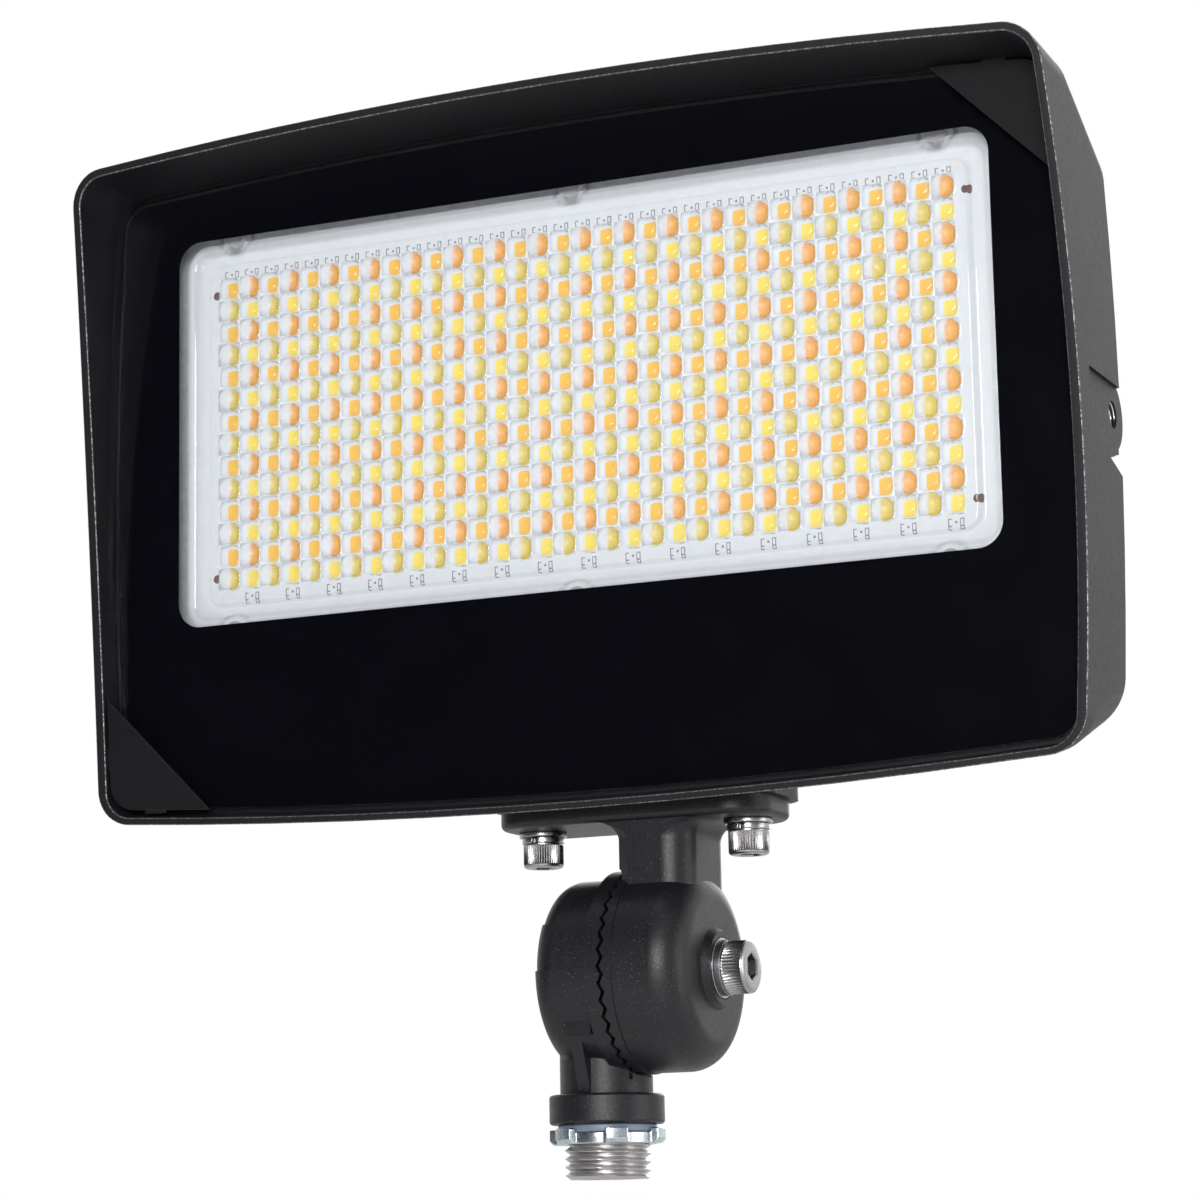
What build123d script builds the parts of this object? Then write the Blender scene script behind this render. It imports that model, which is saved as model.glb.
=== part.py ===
from build123d import *
import math
import os

# LED flood light on a toothed knuckle, millimetres.
# The origin is on the nipple's axis at the collar's seating face, +Z up.
# The lit window looks along -Y, and the knuckle's pivot runs along X.

# Head outline: four slightly bowed sides
SIDE_X = 134.6              # half width at the widest height
SIDE_MID_Z = 165.0          # height where the head is widest
SIDE_BOW_R = 1199.0         # radius of the bowed left and right sides
TOP_BOW_R = 1650.0          # radius of the bowed top
BOTTOM_BOW_R = 1767.0       # radius of the bowed bottom

# Head depth stations along Y, front to back
BLANK_FRONT_Y = -44.0       # front of the blank before the rim is cut
SHOULDER_Y = -17.0          # where the top and bottom start to slope in
HEAD_BACK_Y = 8.6           # back edge of the side walls

# Heights of the top and bottom at the three stations
BLANK_TOP_Z = 255.4
BLANK_BOTTOM_Z = 70.2
SHOULDER_TOP_Z = 254.0
SHOULDER_BOTTOM_Z = 76.6
BACK_TOP_Z = 240.5
BACK_BOTTOM_Z = 84.5
FRONT_CORNER_R = 10.0
BACK_CORNER_R = 13.0

# Rim of the visor: a curve in the YZ plane, deepest at the top
RIM_LOW = (-23.1, 82.0)
RIM_MID = (-25.5, 167.0)
RIM_TOP = (-39.4, 252.0)
RIM_TOP_LEAN = 0.23         # how far the rim leans forward per height above RIM_TOP
LIP_WALL = 2.0              # wall at the visor's lip
VISOR_WALL_X = 2.8          # side wall beside the glass
VISOR_WALL_TOP = 2.3        # top wall above the glass
VISOR_WALL_BOTTOM = 2.3     # bottom wall below the glass

# Glass and its seat
GLASS_FRONT_Y = -20.4
GLASS_T = 4.0
GLASS_GAP = 0.35            # gap between the glass and the visor wall
GLASS_CORNER_R = 7.5
PRINT_T = 0.15              # black enamel on the back of the glass
SEAL_T = 1.25
SEAL_W = 5.0
LEDGE_W = 6.3               # width of the ledge that carries the seal
POCKET_CORNER_R = 6.0

# Clear window and the lamp engine behind it
WINDOW_HALF_X = 112.0
WINDOW_HALF_Z = 51.7
WINDOW_Z = 182.3
WINDOW_CORNER_R = 6.5
LED_ROWS = 14
LED_PITCH = 6.0
LED_H = 3.5
LED_COLUMNS = 34
LED_W = 2.8
LED_T = 0.7
LED_TOP_Y = -9.4
BOARD_T = 1.6
BOARD_HALF_X = 118.0
BOARD_HALF_Z = 58.0
PAD_T = 0.3
WEB_T = 3.2                 # housing wall that carries the board
LENS_HALF_X = 117.0
LENS_HALF_Z = 57.0
LENS_FLANGE_T = 2.0
PLATEAU_HALF_X = 105.3
PLATEAU_HALF_Z = 45.8
PLATEAU_FRONT_Y = -14.2     # front of the lens cells
PLATEAU_CORNER_R = 4.0
LENS_CAVITY_CLEAR = 0.4     # air over the light emitting packages
LENS_CAVITY_MARGIN = 2.6    # air beside the outer packages
LENS_SCREW_X = 97.5
LENS_SCREW_Z = 53.0
LENS_SCREW_R = 1.5
LENS_SCREW_LEN = 9.0
LENS_HEAD_R = 2.75
LENS_HEAD_T = 1.9
LENS_HOLE_GAP = 0.2
LENS_POST_R = 3.5
DOWEL_X = 104.0             # dowels that line the lens plate up with the board
DOWEL_Z = 38.2
DOWEL_R = 1.0

# Corner plates over the glass
PLATE_LEG = 27.0
PLATE_T = 1.3
TAB_W = 6.0
TAB_T = 0.9
TAB_REACH = 1.6             # how far a tab goes into its slot
TAB_GAP = 0.15
TAB_FROM_CORNER = 13.0

# Side bosses with their threaded holes
BOSS_HOLE_Y = 4.5
BOSS_HOLE_Z = 164.0
BOSS_THREAD_R = 3.4
BOSS_THREAD_DEPTH = 12.0
BOSS_R = 8.6
BOSS_LEN = 16.0
PAD_FRONT_Y = -17.0
PAD_TOP_Z = 171.4
PAD_DEPTH = 0.8             # recess of the flat pad into the bowed side
NOTCH_Z = 152.3
NOTCH_DEEP_Y = -1.4
NOTCH_H = 6.0
NOTCH_X = 9.0               # how far the notch reaches in from the side

# Driver room behind the web, its cover and the fins
ROOM_HALF_X = 81.0
ROOM_LOW_Z = 103.0
ROOM_HIGH_Z = 217.0
ROOM_WALL = 3.4
ROOM_RIM_Y = 12.0
ROOM_CORNER_R = 11.0
COVER_SEAL_T = 1.0
COVER_BACK_Y = 29.0
COVER_T = 3.0
COVER_POST_R = 5.0
COVER_SCREW_R = 2.0
COVER_HEAD_R = 3.5
COVER_HEAD_T = 3.0
COVER_SCREW_LEN = 12.0
COVER_SEAT_Y = 17.0         # where the cover screws' heads bear
COVER_POST_INSET = 7.5
FIN_T = 2.0
FIN_PITCH = 9.0
FIN_BACK_Y = 8.6
COVER_FIN_H = 4.0
COVER_FIN_PITCH = 10.5
COVER_FIN_HALF_Z = 48.0

# Driver
DRIVER_X0 = -66.0
DRIVER_X1 = 42.0
DRIVER_Z0 = 138.0
DRIVER_Z1 = 198.0
DRIVER_T = 24.0
DRIVER_EDGE_R = 2.0
EAR_L = 8.0
EAR_W = 14.0
EAR_T = 1.5
DRIVER_SCREW_R = 1.5
DRIVER_SCREW_LEN = 6.0
DRIVER_HEAD_R = 2.9
DRIVER_HEAD_T = 2.0
DRIVER_POST_T = 4.0

# Colour selector behind its screw plug
SWITCH_X = 61.0
SWITCH_Z = 160.0
SWITCH_FACE_Y = 19.6
SWITCH_T = 5.6
SWITCH_W = 7.0
SWITCH_H = 13.0
SLOT_W = 3.2
SLOT_DEPTH = 3.0
KNOB_TRAVEL = 2.0           # either way from the middle of three settings
KNOB_L = 3.0
KNOB_SIDE_GAP = 0.08
KNOB_END_GAP = 0.2
KNOB_PROUD = 2.2
SWITCH_BOARD_T = 1.6
SWITCH_BOARD_W = 14.0
SWITCH_BOARD_H = 30.0
SWITCH_POST_R = 2.6
SWITCH_PIN_R = 1.2
SWITCH_POST_Z = 11.5
PORT_R = 8.0
PLUG_HEAD_R = 11.0
PLUG_HEAD_T = 3.0
PLUG_SHANK_LEN = 5.0
PLUG_COIN_W = 1.8
PLUG_COIN_DEPTH = 1.4
PLUG_RING_R = 0.9
PLUG_PAD_R = 13.0
PLUG_PAD_T = 1.0

# Boss under the head, mounting plate and its screws
PLATE_X = 11.6
PLATE_LEN = 71.5
PLATE_DEPTH = 30.0
PLATE_CORNER_R = 10.0
PLATE_TOP_Z = 77.6
PLATE_THICK = 5.0
PLATE_EDGE_R = 1.6
BOSS_MARGIN = 1.9           # how far the head's boss stands out past the plate
BOSS_BACK_Y = 16.5
BOSS_COVER_GAP = 1.5        # gap between the boss and the driver cover
MOUNT_SCREW_X = 27.6
MOUNT_SCREW_R = 3.0
MOUNT_SCREW_LEN = 18.0
MOUNT_HEAD_R = 5.0
MOUNT_HEAD_T = 6.0
MOUNT_SOCKET_AF = 5.0
MOUNT_SOCKET_DEPTH = 3.0
MOUNT_HOLE_GAP = 0.3
FLAT_WASHER_R = 6.0
FLAT_WASHER_T = 1.2
SPLIT_WASHER_R = 5.3
SPLIT_WASHER_T = 1.6
SPLIT_GAP = 1.2
WIRE_X = 17.5
WIRE_R = 4.5
RING_R = 7.0
RING_SECTION_R = 0.9

# Knuckle
PIVOT_Z = 36.7
SEAM_X = 9.7
DISC_R = 25.0
TOOTH_COUNT = 38
TOOTH_H = 0.95              # height of each casting's teeth
TOOTH_GAP = 0.05            # crest to middle of the seam
TOOTH_INNER_R = 16.6
TOOTH_LAND_DEG = 0.5        # half angle of the flat crest
CHAMBER_R = 15.6            # wire chamber round the pivot hub
HUB_R = 8.6
PIVOT_R = 4.0
PIVOT_GAP = 0.2

LOWER_BACK_X = -9.3
FLANGE_T = 4.2              # toothed flange of the lower casting
LOWER_BODY_R = 23.0
LOWER_BAND_R = 23.4         # middle band of the lower casting
LOWER_SKIRT_R = 23.8        # its lower part
BAND_STEP_X = 0.3           # how far the band stands out at the back, and the skirt past it
BAND_LOW_Z = 36.6
BAND_HIGH_Z = 48.0
LOWER_ROUND_R = 6.0
LOWER_CHAMBER_X = -3.8
STEM_R = 11.4
TURN_CLEAR = 0.5            # air round the turning disc where the stem passes under it
STEM_TOP_Z = 26.0
GUSSET_X = -0.5
GUSSET_W = 3.0
GUSSET_LOW_Y = -12.0        # its front at the collar
GUSSET_HIGH_Y = -18.8       # its front at the top
GUSSET_TOP_Z = 25.3
LEDGE_BLOCK_X = 5.0         # end of the small ledge over the gusset
LEDGE_BLOCK_LOW_Z = 21.0
LEDGE_BLOCK_FRONT_Y = -20.4
COLLAR_R = 14.15
COLLAR_T = 7.3
COLLAR_EDGE_R = 0.9
NIPPLE_R = 10.475
NIPPLE_LEN = 13.2
NIPPLE_BORE_R = 7.4
THREAD_PITCH = 2.0
THREAD_DEPTH = 1.0
THREAD_START_Z = -2.2
THREAD_TURNS = 4
NIPPLE_CHAMFER = 0.6

UPPER_FACE_X = 29.9
UPPER_ROUND_R = 8.0
UPPER_FLANGE_T = 2.8        # toothed flange of the upper casting
UPPER_BODY_R = 24.7         # the disc behind that flange
UPPER_CHAMBER_X = 20.5
SPOT_R = 10.1               # foot of the raised ring round the pivot screw
SPOT_TOP_R = 9.0
SPOT_T = 1.8
SPOT_BORE_R = 7.6
SPOT_DEPTH = 1.5            # depth of the washers' seat
ARM_X1 = 28.4
ARM_HALF_Y = 14.0
ARM_EDGE_R = 7.0
ARM_BEVEL_X = 3.2           # bevel of the arm's edges beside the seam
ARM_BEVEL_Y = 2.2
ARM_FLARE_R = 4.5           # hollow curve between the arm and the plate
ARM_FLARE_STEPS = 4

PIVOT_WASHER_R = 7.4
PIVOT_WASHER_T = 1.6
PIVOT_SPLIT_R = 6.8
PIVOT_SPLIT_T = 1.6
PIVOT_HEAD_R = 6.5
PIVOT_HEAD_T = 5.9
PIVOT_SOCKET_AF = 6.0
PIVOT_SOCKET_DEPTH = 4.0
NUT_AF = 13.0
NUT_T = 6.5
NUT_POCKET_GAP = 0.1
NUT_BORE_GAP = 0.08
NUT_RECESS = 0.8

# Sealing washer and locknut on the nipple
SEAL_WASHER_R = 12.1
SEAL_WASHER_T = 2.0
NIPPLE_FIT = 0.1            # radial clearance of what turns or slides on the nipple
LOCKNUT_RING_R = 12.5
LOCKNUT_T = 2.8
LOCKNUT_LUG_R = 14.45
LOCKNUT_LUG_W = 5.6
LOCKNUT_LUG_RISE = 1.0      # how far the lugs rise past the ring, round the washer
LOCKNUT_LUGS = 6
LOCKNUT_FIRST_DEG = 3.4     # direction of the first lug
LOCKNUT_EDGE = 1.0

# Places that follow from the sizes above
GLASS_BACK_Y = GLASS_FRONT_Y + GLASS_T
PRINT_BACK_Y = GLASS_BACK_Y + PRINT_T
LEDGE_Y = PRINT_BACK_Y + SEAL_T
BOARD_FRONT_Y = LED_TOP_Y + LED_T
BOARD_BACK_Y = BOARD_FRONT_Y + BOARD_T
WEB_FRONT_Y = BOARD_BACK_Y + PAD_T
WEB_BACK_Y = WEB_FRONT_Y + WEB_T
LENS_FRONT_Y = BOARD_FRONT_Y - LENS_FLANGE_T
LED_ROW_W = (LED_COLUMNS - 1) * LED_PITCH + LED_W
LENS_CAVITY_HALF_X = LED_ROW_W / 2 + LENS_CAVITY_MARGIN
LENS_CAVITY_HALF_Z = ((LED_ROWS - 1) * LED_PITCH + LED_H) / 2 + LENS_CAVITY_MARGIN
COVER_FRONT_Y = ROOM_RIM_Y + COVER_SEAL_T
COVER_INNER_Y = COVER_BACK_Y - COVER_T
PLATE_BOTTOM_Z = PLATE_TOP_Z - PLATE_THICK
SEAL_WASHER_LOW_Z = -SEAL_WASHER_T
UPPER_SEAT_X = UPPER_FACE_X + SPOT_T - SPOT_DEPTH
PIVOT_SPLIT_X = UPPER_SEAT_X + PIVOT_WASHER_T
PIVOT_HEAD_X = PIVOT_SPLIT_X + PIVOT_SPLIT_T
HEAD_MARGIN = 20.0          # how far cutting blocks reach past the body

os.makedirs("parts", exist_ok=True)


def block(x0, x1, y0, y1, z0, z1):
    """A box between two corners."""
    middle = Pos((x0 + x1) / 2, (y0 + y1) / 2, (z0 + z1) / 2)
    return middle * Box(x1 - x0, y1 - y0, z1 - z0)


def rod_x(radius, x0, x1, y, z):
    """A cylinder along X."""
    return Pos((x0 + x1) / 2, y, z) * Rot(0, 90, 0) * Cylinder(radius, x1 - x0)


def rod_y(radius, y0, y1, x, z):
    """A cylinder along Y."""
    return Pos(x, (y0 + y1) / 2, z) * Rot(90, 0, 0) * Cylinder(radius, y1 - y0)


def rod_z(radius, z0, z1, x, y):
    """A cylinder along Z."""
    return Pos(x, y, (z0 + z1) / 2) * Cylinder(radius, z1 - z0)


def facing(y):
    """A drawing plane at depth y, with its first axis on X and its second on Z."""
    return Plane(origin=(0, y, 0), x_dir=(1, 0, 0), z_dir=(0, -1, 0))


def panel(half_x, half_z, corner_r, y0, y1, z_mid=WINDOW_Z):
    """A plate with round corners between two depths, centred on x = 0."""
    outline = Pos(0, z_mid) * RectangleRounded(2 * half_x, 2 * half_z, corner_r)
    return extrude(facing(y1) * outline, amount=y1 - y0)


def bowed_outline(side, top, bottom, corner_r):
    """The head's outline: four shallow arcs with round corners."""
    def corner(apex, bow_r, sign):
        x = side
        for _ in range(6):
            z = apex - sign * x * x / (2 * bow_r)
            x = side - (z - SIDE_MID_Z) ** 2 / (2 * SIDE_BOW_R)
        return x, z

    top_x, top_z = corner(top, TOP_BOW_R, 1)
    low_x, low_z = corner(bottom, BOTTOM_BOW_R, -1)
    arcs = [
        ThreePointArc((-top_x, top_z), (0, top), (top_x, top_z)),
        ThreePointArc((top_x, top_z), (side, SIDE_MID_Z), (low_x, low_z)),
        ThreePointArc((low_x, low_z), (0, bottom), (-low_x, low_z)),
        ThreePointArc((-low_x, low_z), (-side, SIDE_MID_Z), (-top_x, top_z)),
    ]
    face = make_face(arcs)
    return fillet(face.vertices(), corner_r)


def bowed_loft(*stations):
    """A body through outlines at given depths: (y, side, top, bottom, corner_r)."""
    return loft([facing(y) * bowed_outline(*sizes) for y, *sizes in stations], ruled=True)


def bowed_plate(side, top, bottom, corner_r, y0, y1):
    """A straight plate with the head's bowed outline."""
    return extrude(facing(y1) * bowed_outline(side, top, bottom, corner_r), amount=y1 - y0)


def save(shape, node):
    """Write one sub-part under its node's name."""
    shape.label = node
    export_step(shape, f"parts/{node}.step")


# Housing stations: each is (y, side, top, bottom, corner radius)
OUTER_STATIONS = (
    (BLANK_FRONT_Y, SIDE_X, BLANK_TOP_Z, BLANK_BOTTOM_Z, FRONT_CORNER_R),
    (SHOULDER_Y, SIDE_X, SHOULDER_TOP_Z, SHOULDER_BOTTOM_Z, FRONT_CORNER_R),
    (HEAD_BACK_Y, SIDE_X, BACK_TOP_Z, BACK_BOTTOM_Z, BACK_CORNER_R),
)
SEAT_SIDE = SIDE_X - VISOR_WALL_X
SEAT_TOP = SHOULDER_TOP_Z - VISOR_WALL_TOP
SEAT_BOTTOM = SHOULDER_BOTTOM_Z + VISOR_WALL_BOTTOM
VISOR_STATIONS = (
    (BLANK_FRONT_Y, SIDE_X - LIP_WALL, BLANK_TOP_Z - LIP_WALL, BLANK_BOTTOM_Z + LIP_WALL,
     FRONT_CORNER_R - LIP_WALL),
    (LEDGE_Y, SEAT_SIDE, SEAT_TOP, SEAT_BOTTOM, FRONT_CORNER_R - VISOR_WALL_X),
)
GLASS_SIZES = (SEAT_SIDE - GLASS_GAP, SEAT_TOP - GLASS_GAP, SEAT_BOTTOM + GLASS_GAP)
POCKET_SIZES = (SEAT_SIDE - LEDGE_W, SEAT_TOP - LEDGE_W, SEAT_BOTTOM + LEDGE_W)
LENS_SCREWS = [(x, WINDOW_Z + z) for z in (-LENS_SCREW_Z, LENS_SCREW_Z)
               for x in (-LENS_SCREW_X, 0, LENS_SCREW_X)]
COVER_POST_X = ROOM_HALF_X - COVER_POST_INSET
COVER_POSTS = [(x, z) for x in (-COVER_POST_X, 0, COVER_POST_X)
               for z in (ROOM_LOW_Z + COVER_POST_INSET, ROOM_HIGH_Z - COVER_POST_INSET)]
EAR_Z = (DRIVER_Z0 + DRIVER_Z1) / 2
DRIVER_SCREWS = [(DRIVER_X0 - EAR_L / 2, EAR_Z), (DRIVER_X1 + EAR_L / 2, EAR_Z)]
MOUNT_SCREWS = [PLATE_X - MOUNT_SCREW_X, PLATE_X + MOUNT_SCREW_X]


def between(station_a, station_b, y):
    """Sizes of the outer body at depth y between two stations."""
    share = (y - station_a[0]) / (station_b[0] - station_a[0])
    return [a + (b - a) * share for a, b in zip(station_a[1:], station_b[1:])]


def rim_cutter():
    """Everything in front of the curved rim, across the whole width."""
    high_z = BLANK_TOP_Z + HEAD_MARGIN
    low_z = BLANK_BOTTOM_Z - HEAD_MARGIN
    high_y = RIM_TOP[0] - RIM_TOP_LEAN * (high_z - RIM_TOP[1])
    front_y = high_y - HEAD_MARGIN
    edges = [
        Line((RIM_LOW[0], low_z), RIM_LOW),
        ThreePointArc(RIM_LOW, RIM_MID, RIM_TOP),
        Line(RIM_TOP, (high_y, high_z)),
        Line((high_y, high_z), (front_y, high_z)),
        Line((front_y, high_z), (front_y, low_z)),
        Line((front_y, low_z), (RIM_LOW[0], low_z)),
    ]
    return extrude(Plane.YZ * make_face(edges), amount=SIDE_X + HEAD_MARGIN, both=True)


def side_boss(sign):
    """Round boss behind the side wall that carries a threaded hole."""
    inner = SIDE_X - BOSS_LEN
    boss = rod_x(BOSS_R, inner, SIDE_X, BOSS_HOLE_Y, BOSS_HOLE_Z)
    boss += block(inner, SIDE_X, WEB_BACK_Y, BOSS_HOLE_Y, BOSS_HOLE_Z - BOSS_R, BOSS_HOLE_Z + BOSS_R)
    return boss if sign > 0 else mirror(boss, about=Plane.YZ)


def side_cuts(sign):
    """Flat pad, notch and threaded hole of one side boss."""
    edge = SIDE_X + HEAD_MARGIN
    pad_x = SIDE_X - PAD_DEPTH
    pad_low = BOSS_HOLE_Z - BOSS_R + 1
    run_out = BOSS_HOLE_Z - BOSS_R - 2
    outline = Polyline((PAD_FRONT_Y, PAD_TOP_Z), (ROOM_RIM_Y + HEAD_MARGIN, PAD_TOP_Z),
                       (ROOM_RIM_Y + HEAD_MARGIN, run_out), (NOTCH_DEEP_Y, run_out),
                       (PAD_FRONT_Y, pad_low), close=True)
    pad = extrude(Plane.YZ.offset(pad_x) * make_face(outline), amount=edge - pad_x)
    wedge = Polyline((NOTCH_DEEP_Y, NOTCH_Z), (HEAD_BACK_Y + 1, NOTCH_Z + NOTCH_H / 2),
                     (HEAD_BACK_Y + 1, NOTCH_Z - NOTCH_H / 2), close=True)
    notch_from = SIDE_X - NOTCH_X
    notch = extrude(Plane.YZ.offset(notch_from) * make_face(wedge), amount=edge - notch_from)
    hole = rod_x(BOSS_THREAD_R, pad_x - BOSS_THREAD_DEPTH, edge, BOSS_HOLE_Y, BOSS_HOLE_Z)
    cut = pad + notch + hole
    return cut if sign > 0 else mirror(cut, about=Plane.YZ)


def corner_half(sign):
    """Half space that holds one corner plate, sign +1 for the top right corner."""
    glass_side, glass_top, glass_bottom = GLASS_SIZES
    low_drop = glass_side ** 2 / (2 * BOTTOM_BOW_R)
    high_drop = glass_side ** 2 / (2 * TOP_BOW_R)
    corner_z = glass_top - high_drop if sign > 0 else glass_bottom + low_drop
    corner_x = sign * (glass_side - (corner_z - SIDE_MID_Z) ** 2 / (2 * SIDE_BOW_R))
    return corner_x, corner_z


def corner_tabs(sign, gap):
    """The two tabs of a corner plate, or with a gap their slots in the visor."""
    corner_x, corner_z = corner_half(sign)
    y0 = GLASS_FRONT_Y - PLATE_T + (PLATE_T - TAB_T) / 2 - gap
    y1 = y0 + TAB_T + 2 * gap
    half = TAB_W / 2 + gap
    along_x = corner_x - sign * TAB_FROM_CORNER
    along_z = corner_z - sign * TAB_FROM_CORNER
    reach = GLASS_GAP + TAB_REACH + gap
    x_ends = sorted((corner_x - sign * 2, corner_x + sign * reach))
    z_ends = sorted((corner_z - sign * 2, corner_z + sign * reach))
    side_tab = block(*x_ends, y0, y1, along_z - half, along_z + half)
    end_tab = block(along_x - half, along_x + half, y0, y1, *z_ends)
    return side_tab + end_tab


def corner_plate(sign):
    """Triangular plate over one corner of the glass."""
    glass_side, glass_top, glass_bottom = GLASS_SIZES
    y0 = GLASS_FRONT_Y - PLATE_T
    sheet = bowed_plate(glass_side, glass_top, glass_bottom, GLASS_CORNER_R, y0, GLASS_FRONT_Y)
    corner_x, corner_z = corner_half(sign)
    far = sign * HEAD_MARGIN
    triangle = Polyline((corner_x - sign * PLATE_LEG - far, corner_z + far),
                        (corner_x + far, corner_z + far),
                        (corner_x + far, corner_z - sign * PLATE_LEG - far), close=True)
    prism = extrude(facing(GLASS_FRONT_Y) * make_face(triangle), amount=PLATE_T)
    plate = sheet & prism
    return plate + corner_tabs(sign, 0)


def housing():
    """Die-cast head: visor, glass ledge, web, driver room, fins and bosses."""
    body = bowed_loft(*OUTER_STATIONS)
    foot_half = PLATE_LEN / 2 + BOSS_MARGIN
    foot = block(PLATE_X - foot_half, PLATE_X + foot_half, -PLATE_DEPTH / 2 - BOSS_MARGIN,
                 BOSS_BACK_Y, PLATE_TOP_Z, ROOM_LOW_Z - BOSS_COVER_GAP)
    foot = fillet(foot.edges().filter_by(Axis.Z), PLATE_CORNER_R)
    foot += block(PLATE_X - foot_half + PLATE_CORNER_R, PLATE_X + foot_half - PLATE_CORNER_R,
                  WEB_BACK_Y, ROOM_RIM_Y, PLATE_TOP_Z, ROOM_LOW_Z + ROOM_WALL)
    body += foot
    body -= rim_cutter()
    body -= bowed_loft(*VISOR_STATIONS)
    body -= bowed_plate(*POCKET_SIZES, POCKET_CORNER_R, LEDGE_Y, WEB_FRONT_Y)

    # Open back with fins, the driver room and the posts
    rear = []
    for y in (WEB_BACK_Y, HEAD_BACK_Y):
        side, top, bottom, corner_r = between(OUTER_STATIONS[1], OUTER_STATIONS[2], y)
        rear.append((y, side - VISOR_WALL_X, top - VISOR_WALL_X, bottom + VISOR_WALL_X,
                     corner_r - VISOR_WALL_X))
    hollow = bowed_loft(*rear)
    fin_count = int((SIDE_X - VISOR_WALL_X) / FIN_PITCH)
    fins = [block(i * FIN_PITCH - FIN_T / 2, i * FIN_PITCH + FIN_T / 2, WEB_BACK_Y - 1, FIN_BACK_Y,
                  SHOULDER_BOTTOM_Z, SHOULDER_TOP_Z) for i in range(-fin_count, fin_count + 1)]
    body -= hollow - foot - fins
    room = panel(ROOM_HALF_X, (ROOM_HIGH_Z - ROOM_LOW_Z) / 2, ROOM_CORNER_R, WEB_BACK_Y,
                 ROOM_RIM_Y, (ROOM_HIGH_Z + ROOM_LOW_Z) / 2)
    inside = panel(ROOM_HALF_X - ROOM_WALL, (ROOM_HIGH_Z - ROOM_LOW_Z) / 2 - ROOM_WALL,
                   ROOM_CORNER_R - ROOM_WALL, WEB_BACK_Y, ROOM_RIM_Y + 1,
                   (ROOM_HIGH_Z + ROOM_LOW_Z) / 2)
    body += room
    body -= inside
    body += [side_boss(sign) for sign in (-1, 1)]
    body += [rod_y(COVER_POST_R, WEB_BACK_Y, ROOM_RIM_Y, x, z) for x, z in COVER_POSTS]
    body += [rod_y(LENS_POST_R, WEB_BACK_Y, WEB_BACK_Y + LENS_POST_R, x, z) for x, z in LENS_SCREWS]
    body += [rod_y(LENS_POST_R, WEB_BACK_Y, WEB_BACK_Y + DRIVER_POST_T, x, z)
             for x, z in DRIVER_SCREWS]

    # Threaded holes, the wire way and the slots
    tips = [rod_y(COVER_SCREW_R + TAB_GAP / 2, COVER_SEAT_Y - COVER_SCREW_LEN - 1, ROOM_RIM_Y, x, z)
            for x, z in COVER_POSTS]
    lens_tip = LENS_FRONT_Y + LENS_SCREW_LEN + 0.5
    tips += [rod_y(LENS_SCREW_R + TAB_GAP / 2, WEB_FRONT_Y, lens_tip, x, z) for x, z in LENS_SCREWS]
    ear_y = WEB_BACK_Y + DRIVER_POST_T
    tips += [rod_y(DRIVER_SCREW_R + TAB_GAP / 2, ear_y + EAR_T - DRIVER_SCREW_LEN - 0.4, ear_y, x, z)
             for x, z in DRIVER_SCREWS]
    mount_tip = PLATE_BOTTOM_Z - FLAT_WASHER_T - SPLIT_WASHER_T + MOUNT_SCREW_LEN + 1
    tips += [rod_z(MOUNT_SCREW_R + TAB_GAP / 2, PLATE_TOP_Z, mount_tip, x, 0) for x in MOUNT_SCREWS]
    body -= tips
    body -= rod_z(WIRE_R, PLATE_TOP_Z, ROOM_LOW_Z + ROOM_WALL + 1, WIRE_X, 0)
    body -= [side_cuts(sign) for sign in (-1, 1)]
    body -= [corner_tabs(sign, TAB_GAP) for sign in (-1, 1)]
    return body


def glass():
    """Flat toughened glass with bevelled edges."""
    pane = bowed_plate(*GLASS_SIZES, GLASS_CORNER_R, GLASS_FRONT_Y, GLASS_BACK_Y)
    return chamfer(pane.faces().sort_by(Axis.Y)[0].edges(), 0.5)


def glass_print():
    """Black enamel layer on the back of the glass, open at the window."""
    sheet = bowed_plate(GLASS_SIZES[0] - 1, GLASS_SIZES[1] - 1, GLASS_SIZES[2] + 1,
                        GLASS_CORNER_R - 1, GLASS_BACK_Y, PRINT_BACK_Y)
    return sheet - panel(WINDOW_HALF_X, WINDOW_HALF_Z, WINDOW_CORNER_R, GLASS_BACK_Y, PRINT_BACK_Y)


def glass_seal():
    """Silicone ring between the printed glass and the housing's ledge."""
    side, top, bottom = GLASS_SIZES
    outer = bowed_plate(side - 1, top - 1, bottom + 1, GLASS_CORNER_R - 1, PRINT_BACK_Y, LEDGE_Y)
    inner = bowed_plate(side - SEAL_W, top - SEAL_W, bottom + SEAL_W, GLASS_CORNER_R - 1,
                        PRINT_BACK_Y, LEDGE_Y)
    return outer - inner


def led_rows(parity):
    """Rows of one colour: every other row, each row of packages as one strip."""
    strips = []
    for row in range(parity, LED_ROWS, 2):
        z = WINDOW_Z + ((LED_ROWS - 1) / 2 - row) * LED_PITCH
        strips.append(block(-LED_ROW_W / 2, LED_ROW_W / 2, LED_TOP_Y, BOARD_FRONT_Y,
                            z - LED_H / 2, z + LED_H / 2))
    return Compound(strips)


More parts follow.
